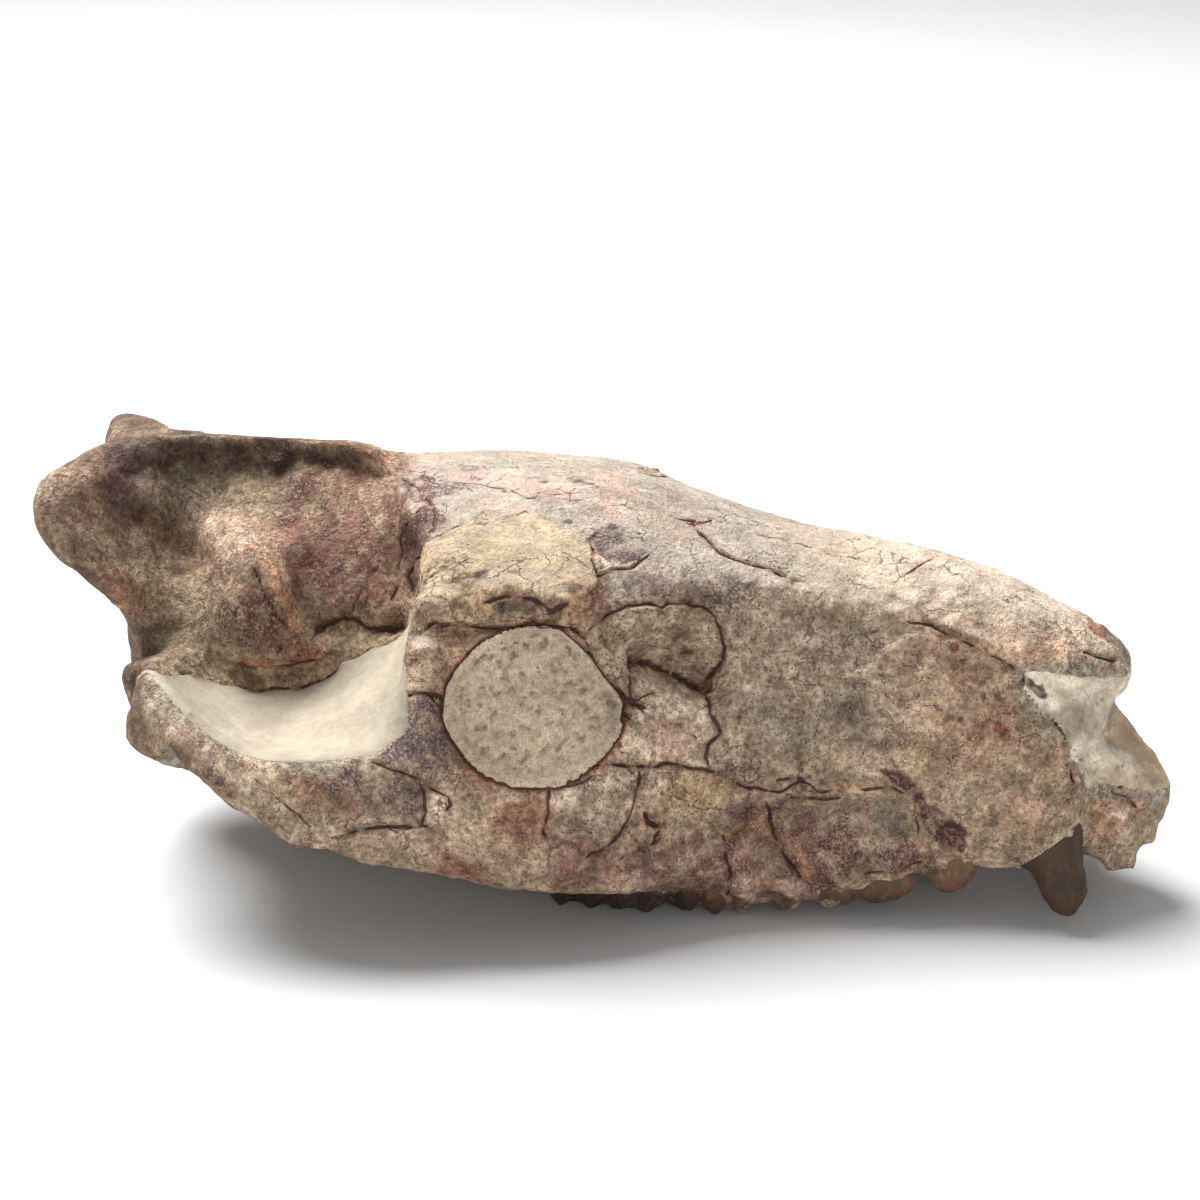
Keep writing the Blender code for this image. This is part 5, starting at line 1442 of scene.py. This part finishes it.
def bone_material():
    shade = Shade("mineralised bone", 0.72)
    speckle, pores, crack = shade.channels(shade.attribute("Marks"))[0:3]
    broad, fine, finer = shade.grain(5.5, 5, 0.65), shade.grain(1.1, 4, 0.65), shade.grain(0.35, 4)
    swirl = shade.warped(3.0, 3.5)
    streaks = shade.grain(2.4, 5, 0.7, space=shade.warped(9.0, 5.0, (0.16, 1, 1)))

    tone = shade.attribute("Tint")
    blotch = shade.mix(shade.span(broad, 0.33, 0.66), (0.62, 0.59, 0.56), (1.30, 1.29, 1.27))
    worn = shade.span(pores, 0.08, 0.42, 0.4, 1.0)
    tone = shade.mix(worn, tone, blotch, "MULTIPLY")
    tone = shade.mix(worn, tone, shade.mix(shade.span(fine, 0.32, 0.68), (0.54, 0.50, 0.48),
                                           (1.40, 1.40, 1.39)), "MULTIPLY")
    tone = shade.mix(0.6, tone, shade.mix(shade.span(streaks, 0.35, 0.65), (0.82, 0.79, 0.76),
                                          (1.14, 1.14, 1.13)), "MULTIPLY")
    tone = shade.mix(0.7, tone, shade.mix(shade.span(finer, 0.3, 0.7), (0.66, 0.65, 0.64),
                                          (1.28, 1.28, 1.28)), "MULTIPLY")

    # Dark specks with pale bone between them, where the bone is speckled
    grit = shade.grain(0.5, 4, 0.65)
    patchy = shade.sum("ADD", speckle, shade.sum("MULTIPLY", shade.sum(
        "SUBTRACT", shade.grain(2.2, 4, 0.7), 0.5), 2.2))
    here = shade.span(patchy, 0.34, 0.62)
    cell = shade.sum("MULTIPLY", shade.span(grit, 0.46, 0.55), here)
    lace = shade.sum("MULTIPLY", shade.span(grit, 0.36, 0.47, 1.0, 0.0), here)
    dark = shade.mix(0.85, tone, (0.30, 0.19, 0.20), "MULTIPLY")
    tone = shade.mix(shade.sum("MULTIPLY", cell, 0.8), tone, dark)
    pale = shade.sum("MULTIPLY", lace, shade.span(speckle, 0.3, 0.8, 0.1, 0.38))
    tone = shade.mix(pale, tone, (0.46, 0.36, 0.30))

    # Pores
    pits = shade.span(shade.cells(0.85), 0.10, 0.24, 1.0, 0.0)
    chosen = shade.span(shade.sum("ADD", shade.grain(2.2, 1), shade.sum("MULTIPLY", pores, 0.3)),
                        0.60, 0.68)
    pits = shade.sum("MULTIPLY", pits, chosen)
    tone = shade.mix(shade.sum("MULTIPLY", pits, 0.75), tone, (0.05, 0.03, 0.025))

    # Drawn cracks, and hair cracks between plates
    uneven = shade.sum("MULTIPLY", shade.sum("SUBTRACT", finer, 0.5), 0.22)
    uneven = shade.sum("ADD", uneven, shade.sum("MULTIPLY", shade.sum("SUBTRACT", fine, 0.5), 0.24))
    line = shade.span(shade.sum("ADD", crack, uneven), 0.60, 0.70)
    wide = shade.span(shade.cells(15.0, "DISTANCE_TO_EDGE", swirl), 0.003, 0.008, 1.0, 0.0)
    wide = shade.sum("MULTIPLY", wide, shade.span(shade.grain(11.0, 2), 0.52, 0.60))
    small = shade.span(shade.cells(5.0, "DISTANCE_TO_EDGE", shade.warped(1.6, 1.6)), 0.005, 0.018,
                       1.0, 0.0)
    small = shade.sum("MULTIPLY", small, shade.span(shade.grain(8.0, 2), 0.57, 0.65))
    hair = shade.sum("MAXIMUM", wide, small)
    tone = shade.mix(shade.sum("MULTIPLY", hair, 0.7), tone, (0.10, 0.06, 0.045))
    tone = shade.mix(shade.sum("MULTIPLY", line, 0.85), tone, (0.05, 0.026, 0.02))
    shade.colour(tone)

    height = shade.sum("ADD", shade.sum("MULTIPLY", finer, 0.5), shade.sum("MULTIPLY", fine, 1.1))
    height = shade.sum("ADD", height, shade.sum("MULTIPLY", streaks, 0.6))
    height = shade.sum("ADD", height, shade.grain(0.8, 2))
    height = shade.sum("MULTIPLY", height, shade.span(pores, 0.08, 0.42, 0.35, 1.0))
    height = shade.sum("SUBTRACT", height, shade.sum("MULTIPLY", pits, 0.9))
    height = shade.sum("SUBTRACT", height, shade.sum("MULTIPLY", cell, 0.25))
    height = shade.sum("SUBTRACT", height, shade.sum("MULTIPLY", hair, 0.7))
    height = shade.sum("SUBTRACT", height, shade.sum("MULTIPLY", line, 1.2))
    shade.bump(height, 1.0, 0.85)
    shade.roughness(shade.span(fine, 0.3, 0.7, 0.62, 0.86))
    return shade.material


def fill_material(name, base, dark, size, bump):
    """Plaster or matrix: an even paste with fine specks and small air holes."""
    shade = Shade(name, 0.85)
    broad, coarse = shade.grain(9.0), shade.grain(size, 4, 0.65)
    finer = shade.grain(0.3, 4)
    tone = shade.mix(shade.span(broad, 0.35, 0.65), base, tuple(0.80 * c for c in base))
    tone = shade.mix(1.0, tone, shade.attribute("Tint"), "MULTIPLY")
    tone = shade.mix(bump, tone, shade.mix(shade.span(coarse, 0.3, 0.7), (0.66, 0.64, 0.60),
                                           (1.22, 1.22, 1.22)), "MULTIPLY")
    specks = shade.span(shade.cells(1.5), 0.10, 0.24, 1.0, 0.0)
    specks = shade.sum("MULTIPLY", specks, shade.span(shade.grain(3.0), 0.46, 0.58))
    tone = shade.mix(shade.sum("MULTIPLY", specks, 0.6), tone, dark)
    tone = shade.mix(shade.span(finer, 0.35, 0.6, 0.4, 0.0), tone, dark)
    shade.colour(tone)
    height = shade.sum("ADD", coarse, shade.sum("MULTIPLY", finer, 0.5))
    height = shade.sum("SUBTRACT", height, shade.sum("MULTIPLY", specks, 0.8))
    shade.bump(height, bump, 0.5)
    shade.roughness(shade.span(finer, 0.3, 0.7, 0.78, 0.95))
    return shade.material


def tooth_material(base):
    """Enamel, tinted place by place, with streaks down the crown."""
    shade = Shade("tooth enamel", 0.5)
    streak, fine = shade.grain(0.9, 5, space=shade.warped(2.0, 1.0, (1, 1, 0.25))), shade.grain(0.4)
    tone = shade.mix(shade.span(streak, 0.45, 0.75), base, tuple(1.8 * c for c in base))
    tone = shade.mix(1.0, tone, shade.attribute("Tint"), "MULTIPLY")
    tone = shade.mix(shade.span(shade.grain(3.0), 0.5, 0.7, 0.0, 0.6), tone, (0.03, 0.02, 0.017))
    shade.colour(tone)
    shade.bump(shade.sum("ADD", fine, streak), 0.5, 0.25)
    shade.roughness(shade.span(streak, 0.3, 0.7, 0.45, 0.7))
    return shade.material


def floor_material(colour):
    shade = Shade("studio floor", 0.9)
    shade.colour(shade.mix(shade.grain(60.0, 2), colour, tuple(0.985 * c for c in colour)))
    return shade.material


# Teeth

# Name, middle, length, width, lowest point, outer cusps, inner cusps
CHEEK_TEETH = (
    ("m3", 1.0, 17.0, 13.0, 0.0, 3, 2),
    ("m2", 15.0, 13.5, 13.0, 0.0, 2, 2),
    ("m1", 26.5, 10.5, 12.0, 0.0, 2, 2),
    ("p4", 36.0, 8.0, 10.0, 0.7, 1, 1),
    ("p3", 45.0, 9.0, 8.0, 1.5, 1, 1),
    ("p2", 54.5, 9.0, 6.5, 2.7, 1, 0),
    ("p1", 66.0, 8.0, 5.5, 4.5, 1, 0),
)
ALVEOLUS_Z = ((-46, 24), (-30, 19), (-20, 14), (-12, 9), (0, 6), (13, 4.6), (32, 3.8), (49, 4.8),
              (58, 7.5), (65, 10.5), (78, 10), (85, 13.5), (90, 18))
ALVEOLUS_Y = ((-46, 11), (-30, 14), (-20, 20), (-12, 28), (-4, 32), (8, 32), (20, 30), (32, 27.5),
              (49, 24.5), (65, 21.5), (78, 20.5), (85, 18), (90, 14.5))
CANINE = ((81.5, 15.5, 24), (85.2, 17.3, 14), (87.5, 18.6, 8), (88.8, 19, 3.4))
CANINE_RADII = (4.8, 5.0, 4.2, 2.0)
# A place on the jaw's edge over the right canine, and the way out of the tooth there
CANINE_EDGE = ((85.2, -18.7, 16.9), (-0.65, 0.15, 0.75))


def along(line, x):
    return float(np.interp(x, [row[0] for row in line], [row[1] for row in line]))


def crescent_cusp(bm, root, tip, across, lengthwise, sides):
    """A ridged cusp: a post whose section turns from an oval to a blade at its tip."""
    rings = []
    for part, size in ((0, 0.95), (0.35, 1.04), (0.6, 0.92), (0.8, 0.62), (0.93, 0.3), (1, 0.08)):
        middle = root.lerp(tip, part)
        ring = []
        for i in range(sides):
            turn = 2 * math.pi * i / sides
            blade = 1 + 0.16 * math.cos(2 * turn)
            ring.append(bm.verts.new(middle + Vector((
                math.cos(turn) * lengthwise * size * blade,
                math.sin(turn) * across * size, 0))))
        rings.append(ring)
    for low, high in zip(rings, rings[1:]):
        for i in range(sides):
            j = (i + 1) % sides
            bm.faces.new((low[i], low[j], high[j], high[i]))
    bm.faces.new(rings[0][::-1])
    bm.faces.new(rings[-1])


def tooth_row(side):
    """Cusps of one row's cheek teeth, in millimetres."""
    bm = bmesh.new()
    draw = np.random.default_rng(9)
    for _, place, length, width, lowest, outer, inner in CHEEK_TEETH:
        edge = along(ALVEOLUS_Z, place)
        for count, inwards, rise in ((outer, 0.24, 0.0), (inner, 0.72, 0.9)):
            for i in range(count):
                x = place + length * ((i + 0.5) / count - 0.5) + draw.uniform(-0.6, 0.6)
                y = along(ALVEOLUS_Y, x) - 1.0 - inwards * width
                tip = Vector((x + draw.uniform(-1.2, 0.6), side * (y + 0.5 - 2 * inwards),
                              lowest + rise + draw.uniform(0.05, 1.3)))
                root = Vector((x, side * y, edge + 3.5))
                across = (0.30 if inner else 0.42) * width
                run = (0.57 if place > 20 else 0.44) * length / count
                crescent_cusp(bm, root, tip, across, run * draw.uniform(0.85, 1.1), 14)
    for face in bm.faces:
        face.smooth = True
    bmesh.ops.recalc_face_normals(bm, faces=bm.faces)
    bmesh.ops.scale(bm, vec=(MM, MM, MM), verts=bm.verts)
    mesh = bpy.data.meshes.new("row")
    bm.to_mesh(mesh)
    bm.free()
    return mesh


# How many times wider than the tooth its cutter is, and how many millimetres further it ends
CANINE_SPARE = 1.5
CANINE_DROP = 2


def canine_mesh(side):
    """The post that a worn canine is cut with: tapering, wider and longer than the tooth."""
    bm = bmesh.new()
    sides, rings = 20, []
    points = [Vector((x, side * y, z)) for x, y, z in CANINE]
    steps = 14
    for k in range(steps + 1):
        t = k / steps * (len(points) - 1)
        i = min(int(t), len(points) - 2)
        middle = points[i].lerp(points[i + 1], t - i)
        size = CANINE_RADII[i] + (CANINE_RADII[i + 1] - CANINE_RADII[i]) * (t - i)
        size *= CANINE_SPARE
        ring = []
        for j in range(sides):
            turn = 2 * math.pi * j / sides
            ring.append(bm.verts.new(middle + Vector((math.cos(turn) * size * 0.95,
                                                      math.sin(turn) * size * 0.8, 0))))
        rings.append(ring)
    for low, high in zip(rings, rings[1:]):
        for i in range(sides):
            j = (i + 1) % sides
            bm.faces.new((low[i], low[j], high[j], high[i]))
    bm.faces.new(rings[0][::-1])
    bm.faces.new(rings[-1])
    bmesh.ops.recalc_face_normals(bm, faces=bm.faces)
    bmesh.ops.scale(bm, vec=(MM, MM, MM), verts=bm.verts)
    bmesh.ops.translate(bm, vec=(0, 0, -CANINE_DROP * MM), verts=rings[-1])
    mesh = bpy.data.meshes.new("canine")
    bm.to_mesh(mesh)
    bm.free()
    return mesh


def roughened(obj, voxel, amount, grow):
    """A tooth piece, blended, with fine relief, and kept above the floor."""
    remeshed(obj, voxel, 2)
    co, out = places(obj), normals(obj)
    push = grow + amount * layered(co, 1.8, 81, 2) + 0.5 * amount * noise(co, 0.7, 91)
    moved = co + out * push[:, None]
    low, high = (np.array(row) / MM for row in CAD_BOX)
    set_places(obj, np.clip(moved, low + INSET, high - INSET))


def smooth_shaded(obj):
    obj.data.polygons.foreach_set("use_smooth", np.ones(len(obj.data.polygons), bool))
    obj.data.update()


def finished(obj, material, nodes):
    """Material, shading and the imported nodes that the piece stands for."""
    obj.data.materials.clear()
    obj.data.materials.append(material)
    smooth_shaded(obj)
    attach(obj, "root")
    if nodes:
        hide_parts(*nodes)


# The user's settings

class SkullSizes(bpy.types.PropertyGroup):
    voxel: FloatProperty(
        name="Skin spacing", description="Spacing of the sculpted skin before it is refined",
        default=1.1 * MM, min=0.5 * MM, max=3 * MM, unit="LENGTH")
    soften: IntProperty(
        name="Smoothing", description="Rounds of smoothing on the first skin",
        default=12, min=0, max=60)
    relief: FloatProperty(
        name="Relief", description="Share of the fine relief on the bone",
        default=1.0, min=0.0, max=2.0, subtype="FACTOR")


class SkullColours(bpy.types.PropertyGroup):
    plaster: FloatVectorProperty(
        name="Plaster", description="Colour of the plaster behind the orbits",
        default=(0.36, 0.33, 0.27), size=3, subtype="COLOR", min=0, max=1)
    orbit: FloatVectorProperty(
        name="Orbit matrix", description="Colour of the matrix in the orbits",
        default=(0.63, 0.515, 0.385), size=3, subtype="COLOR", min=0, max=1)
    nose: FloatVectorProperty(
        name="Nose matrix", description="Colour of the matrix in the nose",
        default=(0.80, 0.71, 0.58), size=3, subtype="COLOR", min=0, max=1)
    tooth: FloatVectorProperty(
        name="Teeth", description="Colour of the tooth enamel",
        default=(0.054, 0.030, 0.017), size=3, subtype="COLOR", min=0, max=1)
    floor: FloatVectorProperty(
        name="Floor", description="Colour of the studio floor",
        default=(0.58, 0.58, 0.58), size=3, subtype="COLOR", min=0, max=1)


class SkullStage(bpy.types.PropertyGroup):
    azimuth: FloatProperty(
        name="Azimuth", description="Camera's turn from square to the right side",
        default=math.radians(11), unit="ROTATION")
    elevation: FloatProperty(
        name="Elevation", description="Camera's height angle",
        default=math.radians(20), unit="ROTATION")
    distance: FloatProperty(
        name="Distance", description="From the camera to its aim", default=0.6, unit="LENGTH")
    lens: FloatProperty(
        name="Lens", description="Focal length of the camera", default=95.0, unit="CAMERA")
    aim: FloatVectorProperty(
        name="Aim", description="Place at the middle of the picture",
        default=(-0.00273, -0.00004, 0.0513), size=3, subtype="TRANSLATION")


# Operators

SKIN = "sculpted_skin"
CANINES = ("canine_right", "canine_left")


def working_skin():
    skin = bpy.data.objects.get(SKIN)
    if skin is None:
        raise RuntimeError("The skin has to be sculpted first")
    return skin


class FOSSIL_OT_skin(bpy.types.Operator):
    """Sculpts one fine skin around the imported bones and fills"""
    bl_idname = "fossil.skin"
    bl_label = "Sculpt Skin"

    def execute(self, context):
        sizes = context.scene.skull_sizes
        skin = whole_skin(sizes.voxel / MM, sizes.soften)
        skin.name = SKIN
        copy_of(skin, FLAT).hide_render = True
        for name in FILL_NODES:
            fill_cutter(name)
        for _, side in SIDES:
            canine_cutter(side)
        sculpt(skin)
        refined(skin)
        relief(skin, sizes.relief)
        skin.hide_render = True
        return {"FINISHED"}


class FOSSIL_OT_bone(bpy.types.Operator):
    """Parts the bone from its fills and paints it"""
    bl_idname = "fossil.bone"
    bl_label = "Bone"

    def execute(self, context):
        bone = copy_of(working_skin(), "bone_surface")
        for name in FILL_NODES + CANINES:
            cut(bone, cutter_of(name), "DIFFERENCE")
        keep_main_surface(bone)
        colour, speckle, pores, crack = painted_bone(bone)
        store(bone, "Tint", colour)
        store(bone, "Marks", np.column_stack((speckle, pores, crack)))
        finished(bone, bone_material(), BONE_NODES)
        return {"FINISHED"}


def disc_relief(obj):
    """The matrix in an orbit: sunk behind its rim, with rings and lumps of paste."""
    co = places(obj)
    middle = 0.5 * (co.min(0) + co.max(0))
    half = 0.5 * (co.max(0) - co.min(0))
    off = (co - middle) / half
    out = np.hypot(off[:, 0], off[:, 2])
    (way_x, way_z), reach = ORBIT_EDGE
    out = np.maximum(out, 1 - (reach - way_x * co[:, 0] - way_z * co[:, 2]) / 14)
    side = np.sign(middle[1])
    face = ramp(0.3, 0.7, side * normals(obj)[:, 1])
    push = -0.9 * ramp(0.99, 0.88, out) + 0.35 * ramp(0.84, 0.8, out) * ramp(0.74, 0.79, out)
    push += ramp(0.95, 0.8, out) * (0.30 * layered(co, 4.0, 151, 2) + 0.18 * layered(co, 1.6, 153, 2))
    pits = np.maximum(ramp(0.40, 0.6, noise(co, 1.7, 157)), ramp(0.35, 0.6, noise(co, 1.2, 158)))
    push -= 0.45 * pits * ramp(0.9, 0.8, out)
    co[:, 1] += side * push * face
    set_places(obj, co)


def build_fill(name, piece, material):
    """One fill, cut out of the sculpted skin and painted."""
    fill = cut(copy_of(working_skin(), piece), cutter_of(name), "INTERSECT")
    if not len(fill.data.vertices):
        raise RuntimeError(name + " came out empty")
    keep_main_surface(fill)
    if name.startswith("orbit"):
        disc_relief(fill)
    co = places(fill)
    # Painted shade: the fill's tint is darkened in broad hollows and small pits
    tint = 1 + 0.14 * layered(co, 8, 141, 3) - 0.35 * ramp(0.1, 0.9, cavity(fill, 30))
    tint -= 0.45 * ramp(0.04, 0.25, cavity(fill, 6))
    warm = np.column_stack((tint, tint * 0.985, tint * 0.96))
    if name == "nose_matrix":
        brown = ramp(31, 26, co[:, 2] + 3 * layered(co, 6, 143, 2)) * ramp(88, 94, co[:, 0])
        warm = mixed(warm, (0.62, 0.50, 0.40), 0.8 * brown)
        grey = ramp(6, 3, np.linalg.norm(np.abs(co) - (86, 13, 38), axis=1) + 2 * noise(co, 3, 145))
        warm = mixed(warm, (0.4, 0.37, 0.34), 0.8 * grey)
        mirrored = co.copy()
        mirrored[:, 1] = -np.abs(co[:, 1])
        strip = outline_depth(mirrored, PATCHES["premaxilla process"][5], 5)
        warm = mixed(warm, (0.53, 0.42, 0.34), 0.9 * ramp(-0.5, 0.5, strip + layered(co, 3, 149, 2)))
        warm *= (1 + 0.25 * layered(co, 3, 147, 2))[:, None]
        gap, _ = line_distance(mirrored, CRACKS["muzzle hole"][4], 3)
        warm = mixed(warm, (0.09, 0.055, 0.045), ramp(1.1, 0.5, gap + 0.7 * noise(co, 1.5, 151)))
    store(fill, "Tint", np.clip(warm, 0.15, 1.25))
    finished(fill, material, (name,))


class FOSSIL_OT_orbits(bpy.types.Operator):
    """Fills both orbits with grey matrix"""
    bl_idname = "fossil.orbits"
    bl_label = "Orbit Matrix"

    def execute(self, context):
        base = tuple(context.scene.skull_colours.orbit)
        material = fill_material("orbit matrix", base, (0.16, 0.12, 0.085), 1.2, 0.8)
        for side, _ in SIDES:
            build_fill("orbit_fill_" + side, "orbit_matrix_" + side, material)
        return {"FINISHED"}


class FOSSIL_OT_plaster(bpy.types.Operator):
    """Fills both temporal openings with plaster"""
    bl_idname = "fossil.plaster"
    bl_label = "Temporal Plaster"

    def execute(self, context):
        base = tuple(context.scene.skull_colours.plaster)
        material = fill_material("plaster", base, (0.42, 0.31, 0.2), 1.6, 0.35)
        for side, _ in SIDES:
            build_fill("temporal_fill_" + side, "temporal_plaster_" + side, material)
        return {"FINISHED"}


class FOSSIL_OT_nose(bpy.types.Operator):
    """Fills the nose with pale matrix"""
    bl_idname = "fossil.nose"
    bl_label = "Nose Matrix"

    def execute(self, context):
        base = tuple(context.scene.skull_colours.nose)
        material = fill_material("nose matrix", base, (0.24, 0.19, 0.14), 1.8, 0.8)
        build_fill("nose_matrix", "nose_matrix_surface", material)
        return {"FINISHED"}


class FOSSIL_OT_teeth(bpy.types.Operator):
    """Adds the cheek teeth and the canines"""
    bl_idname = "fossil.teeth"
    bl_label = "Teeth"

    def execute(self, context):
        material = tooth_material(tuple(context.scene.skull_colours.tooth))
        for side, sign in SIDES:
            row = new_object("cheek_teeth_" + side, tooth_row(sign))
            roughened(row, 0.4, 0.16, 0.15)
            co = places(row)
            lumps = 1 + 0.4 * layered(co, 3, 163, 2)
            # Tint along the row: the rear cusps are kept dark, partly as painted shade, and the front
            # ones are made paler
            tint = np.ones((len(co), 3)) * 0.6
            tint = mixed(tint, (1.9, 1.8, 1.7), ramp(18, 26, co[:, 0]) * lumps)
            tint = mixed(tint, (2.6, 2.5, 2.6), ramp(56, 62, co[:, 0]) * lumps)
            store(row, "Tint", tint)
            finished(row, material, ())
            canine = copy_of(working_skin(), "canine_" + side)
            cut(canine, cutter_of("canine_" + side), "INTERSECT")
            keep_main_surface(canine)
            store(canine, "Tint", np.ones((len(canine.data.vertices), 3)))
            finished(canine, material, ())
        return {"FINISHED"}


def area_light(name, place, target, size, power):
    data = bpy.data.lights.new(name, "AREA")
    data.shape = "DISK"
    data.size = size
    data.energy = power
    lamp = new_object(name, data)
    lamp.location = place
    aim = Vector(target) - Vector(place)
    lamp.rotation_mode = "QUATERNION"
    lamp.rotation_quaternion = aim.to_track_quat("-Z", "Y")


class FOSSIL_OT_stage(bpy.types.Operator):
    """Sets the floor, the soft lights and the camera"""
    bl_idname = "fossil.stage"
    bl_label = "Stage"

    def execute(self, context):
        stage = context.scene.skull_stage
        bm = bmesh.new()
        bmesh.ops.create_grid(bm, x_segments=2, y_segments=2, size=6.0)
        mesh = bpy.data.meshes.new("floor")
        bm.to_mesh(mesh)
        bm.free()
        floor = new_object("floor", mesh)
        floor.location.z = -0.0001
        mesh.materials.append(floor_material(tuple(context.scene.skull_colours.floor)))
        area_light("key", (-0.42, 0.28, 0.92), (0, 0, 0.03), 0.9, 30.5)
        area_light("low front fill", (0.3, -1.2, 0.32), (0, 0, 0.04), 0.8, 4.6)
        world = context.scene.world or bpy.data.worlds.new("studio")
        context.scene.world = world
        world.use_nodes = True
        sky = world.node_tree.nodes["Background"]
        sky.inputs["Color"].default_value = (1, 1, 1, 1)
        sky.inputs["Strength"].default_value = 0.47
        data = bpy.data.cameras.new("camera")
        data.lens = stage.lens
        data.clip_start = 0.01
        camera = new_object("camera", data)
        turn, lift = stage.azimuth, stage.elevation
        back = Vector((math.sin(turn) * math.cos(lift), -math.cos(turn) * math.cos(lift),
                       math.sin(lift)))
        camera.location = Vector(stage.aim) + stage.distance * back
        camera.rotation_mode = "QUATERNION"
        camera.rotation_quaternion = back.to_track_quat("Z", "Y")
        context.scene.camera = camera
        context.scene.view_settings.view_transform = "Standard"
        return {"FINISHED"}


class FOSSIL_OT_tidy(bpy.types.Operator):
    """Removes the skin and the cutters that the pieces were made with"""
    bl_idname = "fossil.tidy"
    bl_label = "Remove Working Shapes"

    def execute(self, context):
        names = [SKIN, FLAT] + ["cut_" + name for name in FILL_NODES + CANINES]
        for name in names:
            obj = bpy.data.objects.get(name)
            if obj is not None:
                bpy.data.objects.remove(obj)
        return {"FINISHED"}


OPERATORS = (
    FOSSIL_OT_skin, FOSSIL_OT_bone, FOSSIL_OT_orbits, FOSSIL_OT_plaster, FOSSIL_OT_nose,
    FOSSIL_OT_teeth, FOSSIL_OT_tidy, FOSSIL_OT_stage,
)


class FOSSIL_PT_panel(bpy.types.Panel):
    """Lists the steps that build the skull"""
    bl_idname = "FOSSIL_PT_panel"
    bl_label = "Fossil Skull"
    bl_space_type = "VIEW_3D"
    bl_region_type = "UI"
    bl_category = "Fossil"

    def draw(self, context):
        for group in ("skull_sizes", "skull_colours", "skull_stage"):
            settings = getattr(context.scene, group)
            for key in settings.__annotations__:
                self.layout.prop(settings, key)
        for operator in OPERATORS:
            self.layout.operator(operator.bl_idname)


GROUPS = (("skull_sizes", SkullSizes), ("skull_colours", SkullColours),
          ("skull_stage", SkullStage))


def register():
    for name, group in GROUPS:
        bpy.utils.register_class(group)
        setattr(bpy.types.Scene, name, PointerProperty(type=group))
    for part in OPERATORS + (FOSSIL_PT_panel,):
        bpy.utils.register_class(part)


def unregister():
    for part in (FOSSIL_PT_panel,) + OPERATORS[::-1]:
        bpy.utils.unregister_class(part)
    for name, group in GROUPS[::-1]:
        delattr(bpy.types.Scene, name)
        bpy.utils.unregister_class(group)


def main():
    register()
    bpy.ops.fossil.skin()
    bpy.ops.fossil.bone()
    bpy.ops.fossil.orbits()
    bpy.ops.fossil.plaster()
    bpy.ops.fossil.nose()
    bpy.ops.fossil.teeth()
    bpy.ops.fossil.tidy()
    bpy.ops.fossil.stage()
    bpy.context.view_layer.update()


if __name__ == "__main__":
    main()
